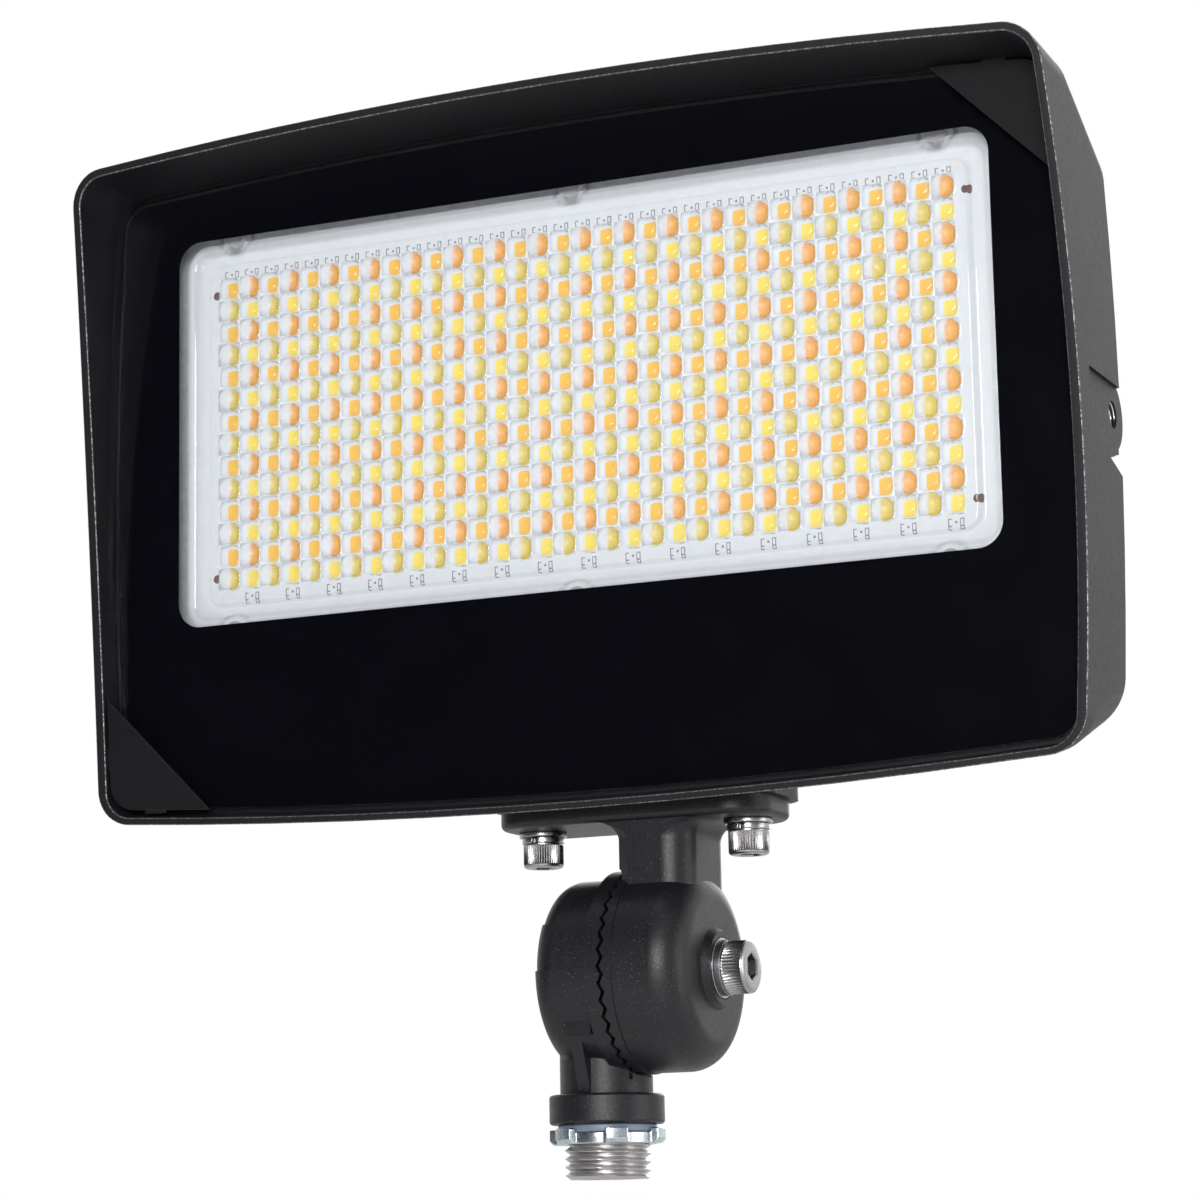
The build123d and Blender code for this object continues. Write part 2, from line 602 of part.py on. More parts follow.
def lens_plate():
    """Clear optic: a flange on the board and a raised field over the packages."""
    plate = panel(LENS_HALF_X, LENS_HALF_Z, WINDOW_CORNER_R, LENS_FRONT_Y, BOARD_FRONT_Y)
    plate += panel(PLATEAU_HALF_X, PLATEAU_HALF_Z, PLATEAU_CORNER_R, PLATEAU_FRONT_Y, LENS_FRONT_Y)
    plate -= panel(LENS_CAVITY_HALF_X, LENS_CAVITY_HALF_Z, PLATEAU_CORNER_R / 2,
                   LED_TOP_Y - LENS_CAVITY_CLEAR, BOARD_FRONT_Y)
    plate -= [rod_y(LENS_SCREW_R + LENS_HOLE_GAP, LENS_FRONT_Y, BOARD_FRONT_Y, x, z)
              for x, z in LENS_SCREWS]
    dowel_back = BOARD_BACK_Y - PAD_T
    plate += [rod_y(DOWEL_R, LENS_FRONT_Y, dowel_back, sign * DOWEL_X, WINDOW_Z + sign * DOWEL_Z)
              for sign in (-1, 1)]
    return plate


def board():
    """Circuit board that carries the packages."""
    sheet = panel(BOARD_HALF_X, BOARD_HALF_Z, WINDOW_CORNER_R, BOARD_FRONT_Y, BOARD_BACK_Y)
    sheet -= [rod_y(LENS_SCREW_R + LENS_HOLE_GAP, BOARD_FRONT_Y, BOARD_BACK_Y, x, z)
              for x, z in LENS_SCREWS]
    sheet -= [rod_y(DOWEL_R + TAB_GAP, BOARD_FRONT_Y, BOARD_BACK_Y, sign * DOWEL_X,
                    WINDOW_Z + sign * DOWEL_Z) for sign in (-1, 1)]
    return sheet


def heat_pad():
    """Soft heat-conducting sheet between the board and the web."""
    sheet = panel(BOARD_HALF_X, BOARD_HALF_Z, WINDOW_CORNER_R, BOARD_BACK_Y, WEB_FRONT_Y)
    return sheet - [rod_y(LENS_SCREW_R + LENS_HOLE_GAP, BOARD_BACK_Y, WEB_FRONT_Y, x, z)
                    for x, z in LENS_SCREWS]


def socket_screw(head_r, head_t, shank_r, shank_len, socket_af, socket_depth):
    """Socket head screw along +Z, with the head's bearing face at z = 0."""
    head = rod_z(head_r, -head_t, 0, 0, 0)
    head = chamfer(head.edges().filter_by(GeomType.CIRCLE).sort_by(Axis.Z)[0], head_r / 10)
    shank = rod_z(shank_r, 0, shank_len, 0, 0)
    shank = chamfer(shank.edges().filter_by(GeomType.CIRCLE).sort_by(Axis.Z)[-1], shank_r / 6)
    hexagon = RegularPolygon(socket_af / 2, 6, major_radius=False)
    socket = extrude(Plane(origin=(0, 0, -head_t)) * hexagon, amount=socket_depth)
    return head + shank - socket


def lens_screws():
    """Pan head screws of the lens plate."""
    screws = []
    for x, z in LENS_SCREWS:
        screw = rod_y(LENS_HEAD_R, LENS_FRONT_Y - LENS_HEAD_T, LENS_FRONT_Y, x, z)
        screw += rod_y(LENS_SCREW_R, LENS_FRONT_Y, LENS_FRONT_Y + LENS_SCREW_LEN, x, z)
        screws.append(screw)
    return Compound(screws)


def cover():
    """Driver cover with short fins, screw posts and the selector's port."""
    half_z = (ROOM_HIGH_Z - ROOM_LOW_Z) / 2
    mid_z = (ROOM_HIGH_Z + ROOM_LOW_Z) / 2
    body = panel(ROOM_HALF_X, half_z, ROOM_CORNER_R, COVER_FRONT_Y, COVER_BACK_Y, mid_z)
    body = fillet(body.faces().sort_by(Axis.Y)[-1].edges(), COVER_T / 2)
    body -= panel(ROOM_HALF_X - ROOM_WALL, half_z - ROOM_WALL, ROOM_CORNER_R - ROOM_WALL,
                  COVER_FRONT_Y, COVER_INNER_Y, mid_z)
    body += [rod_y(COVER_POST_R, COVER_FRONT_Y, COVER_BACK_Y - COVER_T / 2, x, z)
             for x, z in COVER_POSTS]
    fin_count = int((ROOM_HALF_X - ROOM_CORNER_R) / COVER_FIN_PITCH)
    body += [block(i * COVER_FIN_PITCH - FIN_T / 2, i * COVER_FIN_PITCH + FIN_T / 2,
                   COVER_BACK_Y - COVER_T / 2, COVER_BACK_Y + COVER_FIN_H,
                   mid_z - COVER_FIN_HALF_Z, mid_z + COVER_FIN_HALF_Z)
             for i in range(-fin_count, fin_count + 1)]
    body -= rod_y(PLUG_PAD_R + 1, COVER_BACK_Y, COVER_BACK_Y + HEAD_MARGIN, SWITCH_X, SWITCH_Z)
    body += rod_y(PLUG_PAD_R, COVER_INNER_Y, COVER_BACK_Y + PLUG_PAD_T, SWITCH_X, SWITCH_Z)
    body -= rod_y(PORT_R, COVER_INNER_Y, COVER_BACK_Y + HEAD_MARGIN, SWITCH_X, SWITCH_Z)
    body -= Pos(SWITCH_X, COVER_BACK_Y + PLUG_PAD_T, SWITCH_Z) * Rot(90, 0, 0) * Torus(
        PORT_R + 2 * PLUG_RING_R, PLUG_RING_R)
    for x, z in COVER_POSTS:
        body -= rod_y(COVER_SCREW_R + LENS_HOLE_GAP, COVER_FRONT_Y, COVER_SEAT_Y, x, z)
        body -= rod_y(COVER_HEAD_R + LENS_HOLE_GAP, COVER_SEAT_Y, COVER_BACK_Y + HEAD_MARGIN, x, z)
    board_y = SWITCH_FACE_Y - SWITCH_T
    for z in (SWITCH_Z - SWITCH_POST_Z, SWITCH_Z + SWITCH_POST_Z):
        body += rod_y(SWITCH_POST_R, board_y, COVER_INNER_Y, SWITCH_X, z)
        body += rod_y(SWITCH_PIN_R, board_y - SWITCH_BOARD_T - 1, board_y, SWITCH_X, z)
    return body


def cover_seal():
    """Flat ring between the driver room's rim and the cover."""
    half_z = (ROOM_HIGH_Z - ROOM_LOW_Z) / 2
    mid_z = (ROOM_HIGH_Z + ROOM_LOW_Z) / 2
    outer = panel(ROOM_HALF_X - 0.3, half_z - 0.3, ROOM_CORNER_R, ROOM_RIM_Y, COVER_FRONT_Y, mid_z)
    inner = panel(ROOM_HALF_X - ROOM_WALL, half_z - ROOM_WALL, ROOM_CORNER_R - ROOM_WALL,
                  ROOM_RIM_Y, COVER_FRONT_Y, mid_z)
    ring = outer - inner
    ring += [rod_y(COVER_POST_R, ROOM_RIM_Y, COVER_FRONT_Y, x, z) for x, z in COVER_POSTS]
    return ring - [rod_y(COVER_SCREW_R + LENS_HOLE_GAP, ROOM_RIM_Y, COVER_FRONT_Y, x, z)
                   for x, z in COVER_POSTS]


def rear_screws(places, bearing_y, head_r, head_t, shank_r, shank_len, socket_af):
    """Socket screws that go in from the back at the given places."""
    screw = socket_screw(head_r, head_t, shank_r, shank_len, socket_af, head_t / 2)
    return Compound([Pos(x, bearing_y, z) * Rot(90, 0, 0) * screw for x, z in places])


def driver():
    """Driver case with an ear at each end."""
    y0 = WEB_BACK_Y
    case = block(DRIVER_X0, DRIVER_X1, y0, y0 + DRIVER_T, DRIVER_Z0, DRIVER_Z1)
    case = fillet(case.edges().filter_by(Axis.Y), DRIVER_EDGE_R)
    ear_y = WEB_BACK_Y + DRIVER_POST_T
    case += block(DRIVER_X0 - EAR_L, DRIVER_X1 + EAR_L, ear_y, ear_y + EAR_T,
                  EAR_Z - EAR_W / 2, EAR_Z + EAR_W / 2)
    return case - [rod_y(DRIVER_SCREW_R + LENS_HOLE_GAP, ear_y, ear_y + EAR_T, x, z)
                   for x, z in DRIVER_SCREWS]


def switch_body():
    """Selector switch on its small board."""
    y0 = SWITCH_FACE_Y - SWITCH_T
    body = block(SWITCH_X - SWITCH_W / 2, SWITCH_X + SWITCH_W / 2, y0, SWITCH_FACE_Y,
                 SWITCH_Z - SWITCH_H / 2, SWITCH_Z + SWITCH_H / 2)
    slot_half = KNOB_L / 2 + KNOB_TRAVEL + KNOB_END_GAP
    return body - block(SWITCH_X - SLOT_W / 2, SWITCH_X + SLOT_W / 2, SWITCH_FACE_Y - SLOT_DEPTH,
                        SWITCH_FACE_Y, SWITCH_Z - slot_half, SWITCH_Z + slot_half)


def switch_board():
    """Small board under the selector switch, staked on the cover's pins."""
    y1 = SWITCH_FACE_Y - SWITCH_T
    sheet = block(SWITCH_X - SWITCH_BOARD_W / 2, SWITCH_X + SWITCH_BOARD_W / 2,
                  y1 - SWITCH_BOARD_T, y1, SWITCH_Z - SWITCH_BOARD_H / 2,
                  SWITCH_Z + SWITCH_BOARD_H / 2)
    return sheet - [rod_y(SWITCH_PIN_R + TAB_GAP / 2, y1 - SWITCH_BOARD_T, y1, SWITCH_X, z)
                    for z in (SWITCH_Z - SWITCH_POST_Z, SWITCH_Z + SWITCH_POST_Z)]


def switch_knob():
    """Sliding knob, in the middle of its three settings."""
    half_w = SLOT_W / 2 - KNOB_SIDE_GAP
    return block(SWITCH_X - half_w, SWITCH_X + half_w,
                 SWITCH_FACE_Y - SLOT_DEPTH + KNOB_SIDE_GAP, SWITCH_FACE_Y + KNOB_PROUD,
                 SWITCH_Z - KNOB_L / 2, SWITCH_Z + KNOB_L / 2)


def switch_plug():
    """Round plug with a coin slot that closes the selector's port."""
    seat_y = COVER_BACK_Y + PLUG_PAD_T
    plug = rod_y(PLUG_HEAD_R, seat_y, seat_y + PLUG_HEAD_T, SWITCH_X, SWITCH_Z)
    plug = chamfer(plug.faces().sort_by(Axis.Y)[-1].edges(), PLUG_RING_R)
    plug += rod_y(PORT_R - TAB_GAP / 2, seat_y - PLUG_SHANK_LEN, seat_y, SWITCH_X, SWITCH_Z)
    coin = block(SWITCH_X - PLUG_HEAD_R, SWITCH_X + PLUG_HEAD_R,
                 seat_y + PLUG_HEAD_T - PLUG_COIN_DEPTH, seat_y + PLUG_HEAD_T,
                 SWITCH_Z - PLUG_COIN_W / 2, SWITCH_Z + PLUG_COIN_W / 2)
    return plug - coin


def plug_ring():
    """Round ring in the groove under the plug's head."""
    seat_y = COVER_BACK_Y + PLUG_PAD_T
    ring = Pos(SWITCH_X, seat_y, SWITCH_Z) * Rot(90, 0, 0) * Torus(
        PORT_R + 2 * PLUG_RING_R, PLUG_RING_R)
    keep = rod_y(PLUG_PAD_R, COVER_INNER_Y, seat_y, SWITCH_X, SWITCH_Z)
    return ring & keep


def tooth_grooves(crest_x, outward, first):
    """Grooves between the teeth of one casting, from its crest plane inwards; first is in pitches."""
    half_pitch = math.pi / TOOTH_COUNT
    land = math.radians(TOOTH_LAND_DEG)
    root_x = crest_x + outward * TOOTH_H
    sections = []
    for radius in (TOOTH_INNER_R - 2, DISC_R + 2):
        half = radius * math.tan(half_pitch - land)
        corners = [(crest_x, -half), (crest_x, half), (root_x, 0)]
        sections.append(Plane(origin=(0, 0, radius), x_dir=(1, 0, 0), z_dir=(0, 0, 1))
                        * make_face(Polyline(*corners, close=True)))
    groove = loft(sections, ruled=True)
    turn = 360 / TOOTH_COUNT
    return [Pos(0, 0, PIVOT_Z) * Rot((i + first) * turn, 0, 0) * groove
            for i in range(TOOTH_COUNT)]


def rounded_back(radius, back_x):
    """Disc of the lower casting with its back edge rounded."""
    disc = rod_x(radius, back_x, SEAM_X - FLANGE_T, 0, PIVOT_Z)
    return fillet(disc.faces().sort_by(Axis.X)[0].edges(), LOWER_ROUND_R)


def lower_casting():
    """Base of the knuckle: toothed disc, stem, collar and threaded nipple."""
    crest = SEAM_X - TOOTH_GAP
    body = rounded_back(LOWER_BODY_R, LOWER_BACK_X)
    band = rounded_back(LOWER_BAND_R, LOWER_BACK_X - BAND_STEP_X)
    body += band & block(-DISC_R, DISC_R, -DISC_R, DISC_R, BAND_LOW_Z, BAND_HIGH_Z)
    skirt = rounded_back(LOWER_SKIRT_R, LOWER_BACK_X - 2 * BAND_STEP_X)
    body += skirt & block(-DISC_R, DISC_R, -DISC_R, DISC_R, PIVOT_Z - DISC_R, BAND_LOW_Z)
    body += rod_x(DISC_R, crest - FLANGE_T, crest, 0, PIVOT_Z)
    body += rod_z(STEM_R, COLLAR_T, STEM_TOP_Z, 0, 0)
    collar = rod_z(COLLAR_R, 0, COLLAR_T, 0, 0)
    body += fillet(collar.edges().filter_by(GeomType.CIRCLE), COLLAR_EDGE_R)
    gusset_side = Polyline((GUSSET_LOW_Y, COLLAR_T), (0, COLLAR_T), (0, GUSSET_TOP_Z),
                           (GUSSET_HIGH_Y, GUSSET_TOP_Z), close=True)
    gusset_x = GUSSET_X - GUSSET_W / 2
    body += extrude(Plane.YZ.offset(gusset_x) * make_face(gusset_side), amount=GUSSET_W)
    body += block(gusset_x, LEDGE_BLOCK_X, LEDGE_BLOCK_FRONT_Y, 0, LEDGE_BLOCK_LOW_Z, GUSSET_TOP_Z)
    body += threaded_nipple()

    body -= rod_x(CHAMBER_R, LOWER_CHAMBER_X, SEAM_X, 0, PIVOT_Z)
    body -= rod_z(NIPPLE_BORE_R, -NIPPLE_LEN, PIVOT_Z - HUB_R - 1, 0, 0)
    body += rod_x(HUB_R, LOWER_CHAMBER_X - 1, crest - TOOTH_H, 0, PIVOT_Z)
    body -= rod_x(PIVOT_R + PIVOT_GAP, LOWER_BACK_X - 1, SEAM_X, 0, PIVOT_Z)
    body -= hex_rod(NUT_AF + 2 * NUT_POCKET_GAP, LOWER_BACK_X - 1, LOWER_BACK_X + NUT_RECESS + NUT_T)
    body -= rod_x(DISC_R + TURN_CLEAR, crest, STEM_R + 1, 0, PIVOT_Z)
    body -= tooth_grooves(crest, -1, 0.5)
    return body


def hex_rod(across_flats, x0, x1):
    """Hexagonal bar on the pivot's axis."""
    plane = Plane(origin=(x0, 0, PIVOT_Z), x_dir=(0, 1, 0), z_dir=(1, 0, 0))
    return extrude(plane * RegularPolygon(across_flats / 2, 6, major_radius=False), amount=x1 - x0)


def threaded_nipple():
    """Pipe thread with its ridges, and a plain band with a chamfer at the end."""
    low = -NIPPLE_LEN
    points = [(0, COLLAR_T / 2), (NIPPLE_R, COLLAR_T / 2)]
    for i in range(THREAD_TURNS):
        z = THREAD_START_Z - i * THREAD_PITCH
        points += [(NIPPLE_R, z), (NIPPLE_R - THREAD_DEPTH, z - THREAD_PITCH * 0.45)]
        points += [(NIPPLE_R, z - THREAD_PITCH * 0.9)]
    points += [(NIPPLE_R, low + NIPPLE_CHAMFER), (NIPPLE_R - NIPPLE_CHAMFER, low), (0, low)]
    return revolve(Plane.XZ * make_face(Polyline(*points, close=True)), Axis.Z)


def arm_outline(grow):
    """The arm's section, grown outwards: bevelled beside the seam, round on the screw's side."""
    left = SEAM_X + TOOTH_GAP - grow
    right = ARM_X1 + grow
    depth = ARM_HALF_Y + grow
    face = make_face(Polyline(
        (left, ARM_BEVEL_Y - depth), (left + ARM_BEVEL_X, -depth), (right, -depth), (right, depth),
        (left + ARM_BEVEL_X, depth), (left, depth - ARM_BEVEL_Y), close=True))
    return fillet(face.vertices().sort_by(Axis.X)[-2:], ARM_EDGE_R + grow)


def arm_flare():
    """Hollow curve on both sides between the arm and the plate."""
    sections = []
    for step in range(ARM_FLARE_STEPS + 1):
        rise = ARM_FLARE_R * step / ARM_FLARE_STEPS
        grow = ARM_FLARE_R - math.sqrt(ARM_FLARE_R ** 2 - rise ** 2)
        sections.append(Pos(0, 0, PLATE_BOTTOM_Z - ARM_FLARE_R + rise) * arm_outline(grow))
    reach = ARM_X1 + ARM_FLARE_R
    keep = block(-reach, reach, -ARM_HALF_Y, ARM_HALF_Y, PIVOT_Z, PLATE_BOTTOM_Z)
    return loft(sections) & keep


def upper_casting():
    """Head side of the knuckle: toothed disc, arm and mounting plate."""
    crest = SEAM_X + TOOTH_GAP
    disc = rod_x(UPPER_BODY_R, crest, UPPER_FACE_X, 0, PIVOT_Z)
    disc = fillet(disc.faces().sort_by(Axis.X)[-1].edges(), UPPER_ROUND_R)
    disc += rod_x(DISC_R, crest, crest + UPPER_FLANGE_T, 0, PIVOT_Z)
    arm = extrude(Pos(0, 0, PIVOT_Z) * arm_outline(0), amount=PLATE_BOTTOM_Z - PIVOT_Z)
    plate = Pos(PLATE_X, 0, PLATE_TOP_Z - PLATE_THICK / 2) * extrude(
        RectangleRounded(PLATE_LEN, PLATE_DEPTH, PLATE_CORNER_R), amount=PLATE_THICK / 2, both=True)
    plate = fillet(plate.faces().sort_by(Axis.Z)[0].edges(), PLATE_EDGE_R)
    body = disc + arm + plate + arm_flare()
    body += Pos(UPPER_FACE_X + SPOT_T / 2, 0, PIVOT_Z) * Rot(0, 90, 0) * Cone(SPOT_R, SPOT_TOP_R, SPOT_T)
    body -= rod_x(SPOT_BORE_R, UPPER_SEAT_X, UPPER_FACE_X + SPOT_T, 0, PIVOT_Z)

    body -= rod_x(CHAMBER_R, SEAM_X, UPPER_CHAMBER_X, 0, PIVOT_Z)
    body += rod_x(HUB_R, crest + TOOTH_H, UPPER_CHAMBER_X + 1, 0, PIVOT_Z)
    body -= rod_x(PIVOT_R + PIVOT_GAP, SEAM_X, UPPER_SEAT_X, 0, PIVOT_Z)
    body -= rod_z(WIRE_R, PIVOT_Z + HUB_R + 1, PLATE_TOP_Z, WIRE_X, 0)
    body -= [rod_z(MOUNT_SCREW_R + MOUNT_HOLE_GAP, PLATE_BOTTOM_Z, PLATE_TOP_Z, x, 0)
             for x in MOUNT_SCREWS]
    body -= Pos(WIRE_X, 0, PLATE_TOP_Z - RING_SECTION_R) * Torus(RING_R, RING_SECTION_R)
    body -= rod_z(RING_R + RING_SECTION_R / 2, PLATE_TOP_Z - RING_SECTION_R, PLATE_TOP_Z, WIRE_X, 0) \
        - rod_z(RING_R - RING_SECTION_R / 2, PLATE_TOP_Z - RING_SECTION_R, PLATE_TOP_Z, WIRE_X, 0)
    body -= tooth_grooves(crest, 1, 0)
    return body


def plate_ring():
    """Round sealing ring in the plate's groove round the wire way."""
    return Pos(WIRE_X, 0, PLATE_TOP_Z - RING_SECTION_R) * Torus(RING_R, RING_SECTION_R)


def pivot_bolt():
    """Socket screw that clamps the two castings together."""
    shank_len = PIVOT_HEAD_X - LOWER_BACK_X - NUT_RECESS
    screw = socket_screw(PIVOT_HEAD_R, PIVOT_HEAD_T, PIVOT_R, shank_len, PIVOT_SOCKET_AF,
                         PIVOT_SOCKET_DEPTH)
    return Pos(PIVOT_HEAD_X, 0, PIVOT_Z) * Rot(0, -90, 0) * screw


def pivot_washer():
    """Flat washer in the raised ring."""
    washer = rod_x(PIVOT_WASHER_R, UPPER_SEAT_X, PIVOT_SPLIT_X, 0, PIVOT_Z)
    return washer - rod_x(PIVOT_R + PIVOT_GAP, UPPER_SEAT_X, PIVOT_SPLIT_X, 0, PIVOT_Z)


def pivot_split_washer():
    """Split washer under the pivot screw's head."""
    ring = rod_x(PIVOT_SPLIT_R, PIVOT_SPLIT_X, PIVOT_HEAD_X, 0, PIVOT_Z)
    ring -= rod_x(PIVOT_R + PIVOT_GAP, PIVOT_SPLIT_X, PIVOT_HEAD_X, 0, PIVOT_Z)
    return ring - block(PIVOT_SPLIT_X, PIVOT_HEAD_X, -SPLIT_GAP / 2, SPLIT_GAP / 2,
                        PIVOT_Z, PIVOT_Z + PIVOT_SPLIT_R + 1)


def pivot_nut():
    """Hexagon nut held in the lower casting's pocket."""
    x0 = LOWER_BACK_X + NUT_RECESS
    return hex_rod(NUT_AF, x0, x0 + NUT_T) - rod_x(PIVOT_R + NUT_BORE_GAP, x0, x0 + NUT_T, 0, PIVOT_Z)


def mount_hardware():
    """Screws, split washers and flat washers under the mounting plate."""
    flat_low = PLATE_BOTTOM_Z - FLAT_WASHER_T
    split_low = flat_low - SPLIT_WASHER_T
    hole_r = MOUNT_SCREW_R + MOUNT_HOLE_GAP
    screw = socket_screw(MOUNT_HEAD_R, MOUNT_HEAD_T, MOUNT_SCREW_R, MOUNT_SCREW_LEN,
                         MOUNT_SOCKET_AF, MOUNT_SOCKET_DEPTH)
    screws, splits, flats = [], [], []
    for x in MOUNT_SCREWS:
        screws.append(Pos(x, 0, split_low) * screw)
        ring = rod_z(SPLIT_WASHER_R, split_low, flat_low, x, 0) - rod_z(hole_r, split_low, flat_low, x, 0)
        splits.append(ring - block(x - SPLIT_GAP / 2, x + SPLIT_GAP / 2, -SPLIT_WASHER_R - 1, 0,
                                   split_low, flat_low))
        flats.append(rod_z(FLAT_WASHER_R, flat_low, PLATE_BOTTOM_Z, x, 0)
                     - rod_z(hole_r, flat_low, PLATE_BOTTOM_Z, x, 0))
    return Compound(screws), Compound(splits), Compound(flats)


def seal_washer():
    """Sealing washer on the nipple, against the collar."""
    bore_r = NIPPLE_R + NIPPLE_FIT
    return rod_z(SEAL_WASHER_R, SEAL_WASHER_LOW_Z, 0, 0, 0) - rod_z(bore_r, SEAL_WASHER_LOW_Z, 0, 0, 0)


def locknut():
    """Cast locknut with lugs that rise round the washer."""
    top = SEAL_WASHER_LOW_Z
    low = top - LOCKNUT_T
    lug_top = top + LOCKNUT_LUG_RISE
    half_w = LOCKNUT_LUG_W / 2
    nut = rod_z(LOCKNUT_RING_R, low, top, 0, 0)
    for i in range(LOCKNUT_LUGS):
        lug = block(LOCKNUT_RING_R - 1, LOCKNUT_LUG_R, -half_w, half_w, low, lug_top)
        nut += Rot(0, 0, LOCKNUT_FIRST_DEG + i * 360 / LOCKNUT_LUGS) * lug
    envelope = rod_z(LOCKNUT_LUG_R, low, lug_top, 0, 0)
    nut &= chamfer(envelope.faces().sort_by(Axis.Z)[0].edges(), LOCKNUT_EDGE)
    nut -= rod_z(LOCKNUT_RING_R, top, lug_top, 0, 0)
    return nut - rod_z(NIPPLE_R + NIPPLE_FIT, low, top, 0, 0)


# Knuckle
save(lower_casting(), "knuckle_lower")
save(upper_casting(), "knuckle_upper")
save(pivot_bolt(), "pivot_bolt")
save(pivot_washer(), "pivot_washer")
save(pivot_split_washer(), "pivot_split_washer")
save(pivot_nut(), "pivot_nut")
save(plate_ring(), "wire_way_ring")
save(seal_washer(), "sealing_washer")
save(locknut(), "locknut")
for shape, node in zip(mount_hardware(), ("mount_screws", "mount_split_washers",
                                          "mount_flat_washers")):
    save(shape, node)

# Head
save(housing(), "housing")
save(glass(), "window_glass")
save(glass_print(), "glass_print")
save(glass_seal(), "glass_seal")
save(corner_plate(1), "corner_plate_top")
save(corner_plate(-1), "corner_plate_bottom")
save(board(), "led_board")
save(heat_pad(), "heat_pad")
save(led_rows(0), "leds_warm")
save(led_rows(1), "leds_cool")
save(lens_plate(), "lens_plate")
save(lens_screws(), "lens_screws")

# Back of the head
save(driver(), "driver")
save(rear_screws(DRIVER_SCREWS, WEB_BACK_Y + DRIVER_POST_T + EAR_T, DRIVER_HEAD_R, DRIVER_HEAD_T,
                 DRIVER_SCREW_R, DRIVER_SCREW_LEN, DRIVER_SCREW_R * 2), "driver_screws")
save(cover(), "driver_cover")
save(cover_seal(), "driver_cover_seal")
save(rear_screws(COVER_POSTS, COVER_SEAT_Y, COVER_HEAD_R, COVER_HEAD_T, COVER_SCREW_R,
                 COVER_SCREW_LEN, COVER_SCREW_R * 1.5), "driver_cover_screws")
save(switch_board(), "switch_board")
save(switch_body(), "switch_body")
save(switch_knob(), "switch_knob")
save(switch_plug(), "switch_plug")
save(plug_ring(), "switch_plug_ring")
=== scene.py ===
"""Outdoor LED flood light on a toothed knuckle: dresses the fixed frame, lights it and sets the camera.

Lengths are metres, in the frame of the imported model: the origin is on the nipple's axis at the
collar's seating face, +Z is up, the lit window faces -Y and the knuckle turns about X.
"""
from __future__ import annotations

import logging
import math
from dataclasses import dataclass
from enum import Enum
from typing import Any, Callable, Sequence, Union

import bmesh
import bpy
import numpy as np
from mathutils import Matrix, Vector


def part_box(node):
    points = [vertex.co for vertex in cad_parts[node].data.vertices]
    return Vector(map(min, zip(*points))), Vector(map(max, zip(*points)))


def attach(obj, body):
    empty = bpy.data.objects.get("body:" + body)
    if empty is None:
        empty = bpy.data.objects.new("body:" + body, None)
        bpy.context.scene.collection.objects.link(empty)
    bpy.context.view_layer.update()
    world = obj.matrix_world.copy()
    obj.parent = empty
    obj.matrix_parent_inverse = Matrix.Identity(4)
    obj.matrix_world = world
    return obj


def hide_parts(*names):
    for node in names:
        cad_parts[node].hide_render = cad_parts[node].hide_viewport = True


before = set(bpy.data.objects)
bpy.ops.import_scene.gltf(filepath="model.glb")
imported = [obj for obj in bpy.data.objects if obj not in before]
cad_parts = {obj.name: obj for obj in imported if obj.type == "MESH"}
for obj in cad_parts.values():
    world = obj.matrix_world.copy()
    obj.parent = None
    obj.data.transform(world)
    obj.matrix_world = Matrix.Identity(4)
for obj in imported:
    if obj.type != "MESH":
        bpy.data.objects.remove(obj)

LOG = logging.getLogger("flood_light")
MM = 0.001
CAD_MERGE = 2e-6                 # points of a CAD mesh closer than this are one
GRID_MERGE = 1e-6                # the same for the points of a grid
FLAT = math.radians(0.6)         # faces that turn by less than this become one
CORNER_SHARE = 1.155             # a hexagon's width over corners by its width over flats
Operand = Union["Wire", float]
Pair = tuple[float, float]
Triple = tuple[float, float, float]
Colour = Triple                  # red, green and blue from 0 to 1
Piece = bpy.types.Object
Solid = bmesh.types.BMesh
Cut = Callable[[Solid], None]
Array = np.ndarray
Rows = tuple[tuple[float, ...], ...]
WHITE: Colour = (1.0, 1.0, 1.0)


class Ride(Enum):
    """The rigid bodies that a piece can move with."""

    BASE = "base"
    HEAD = "head"
    KNOB = "selector_knob"
    WASHER = "seal_washer"
    NUT = "nipple_nut"


@dataclass(frozen=True)
class Wire:
    """One shader value, whose operators add Math nodes to its tree."""

    tree: "Tree"
    socket: bpy.types.NodeSocket

    def math(self, operation: str, *terms: Operand) -> "Wire":
        """Returns the value of a Math node on this value and the terms."""
        return self.tree.add("Math", dict(enumerate((self, *terms))), operation=operation)

    def __add__(self, other: Operand) -> "Wire":
        """Sum of two values."""
        return self.math("ADD", other)

    __radd__ = __add__

    def __mul__(self, other: Operand) -> "Wire":
        """Product of two values."""
        return self.math("MULTIPLY", other)

    __rmul__ = __mul__

    def __sub__(self, other: Operand) -> "Wire":
        """Difference of two values."""
        return self.math("SUBTRACT", other)

    def __rsub__(self, other: float) -> "Wire":
        """A number less this value."""
        return self.tree.add("Math", {0: other, 1: self}, operation="SUBTRACT")

    def __pow__(self, power: float) -> "Wire":
        """This value to a power."""
        return self.math("POWER", power)

    def step(self, low: float, high: float) -> "Wire":
        """Smooth climb from 0 at low to 1 at high."""
        return self.tree.add("MapRange", {"Value": self, "From Min": low, "From Max": high},
                             interpolation_type="SMOOTHSTEP")


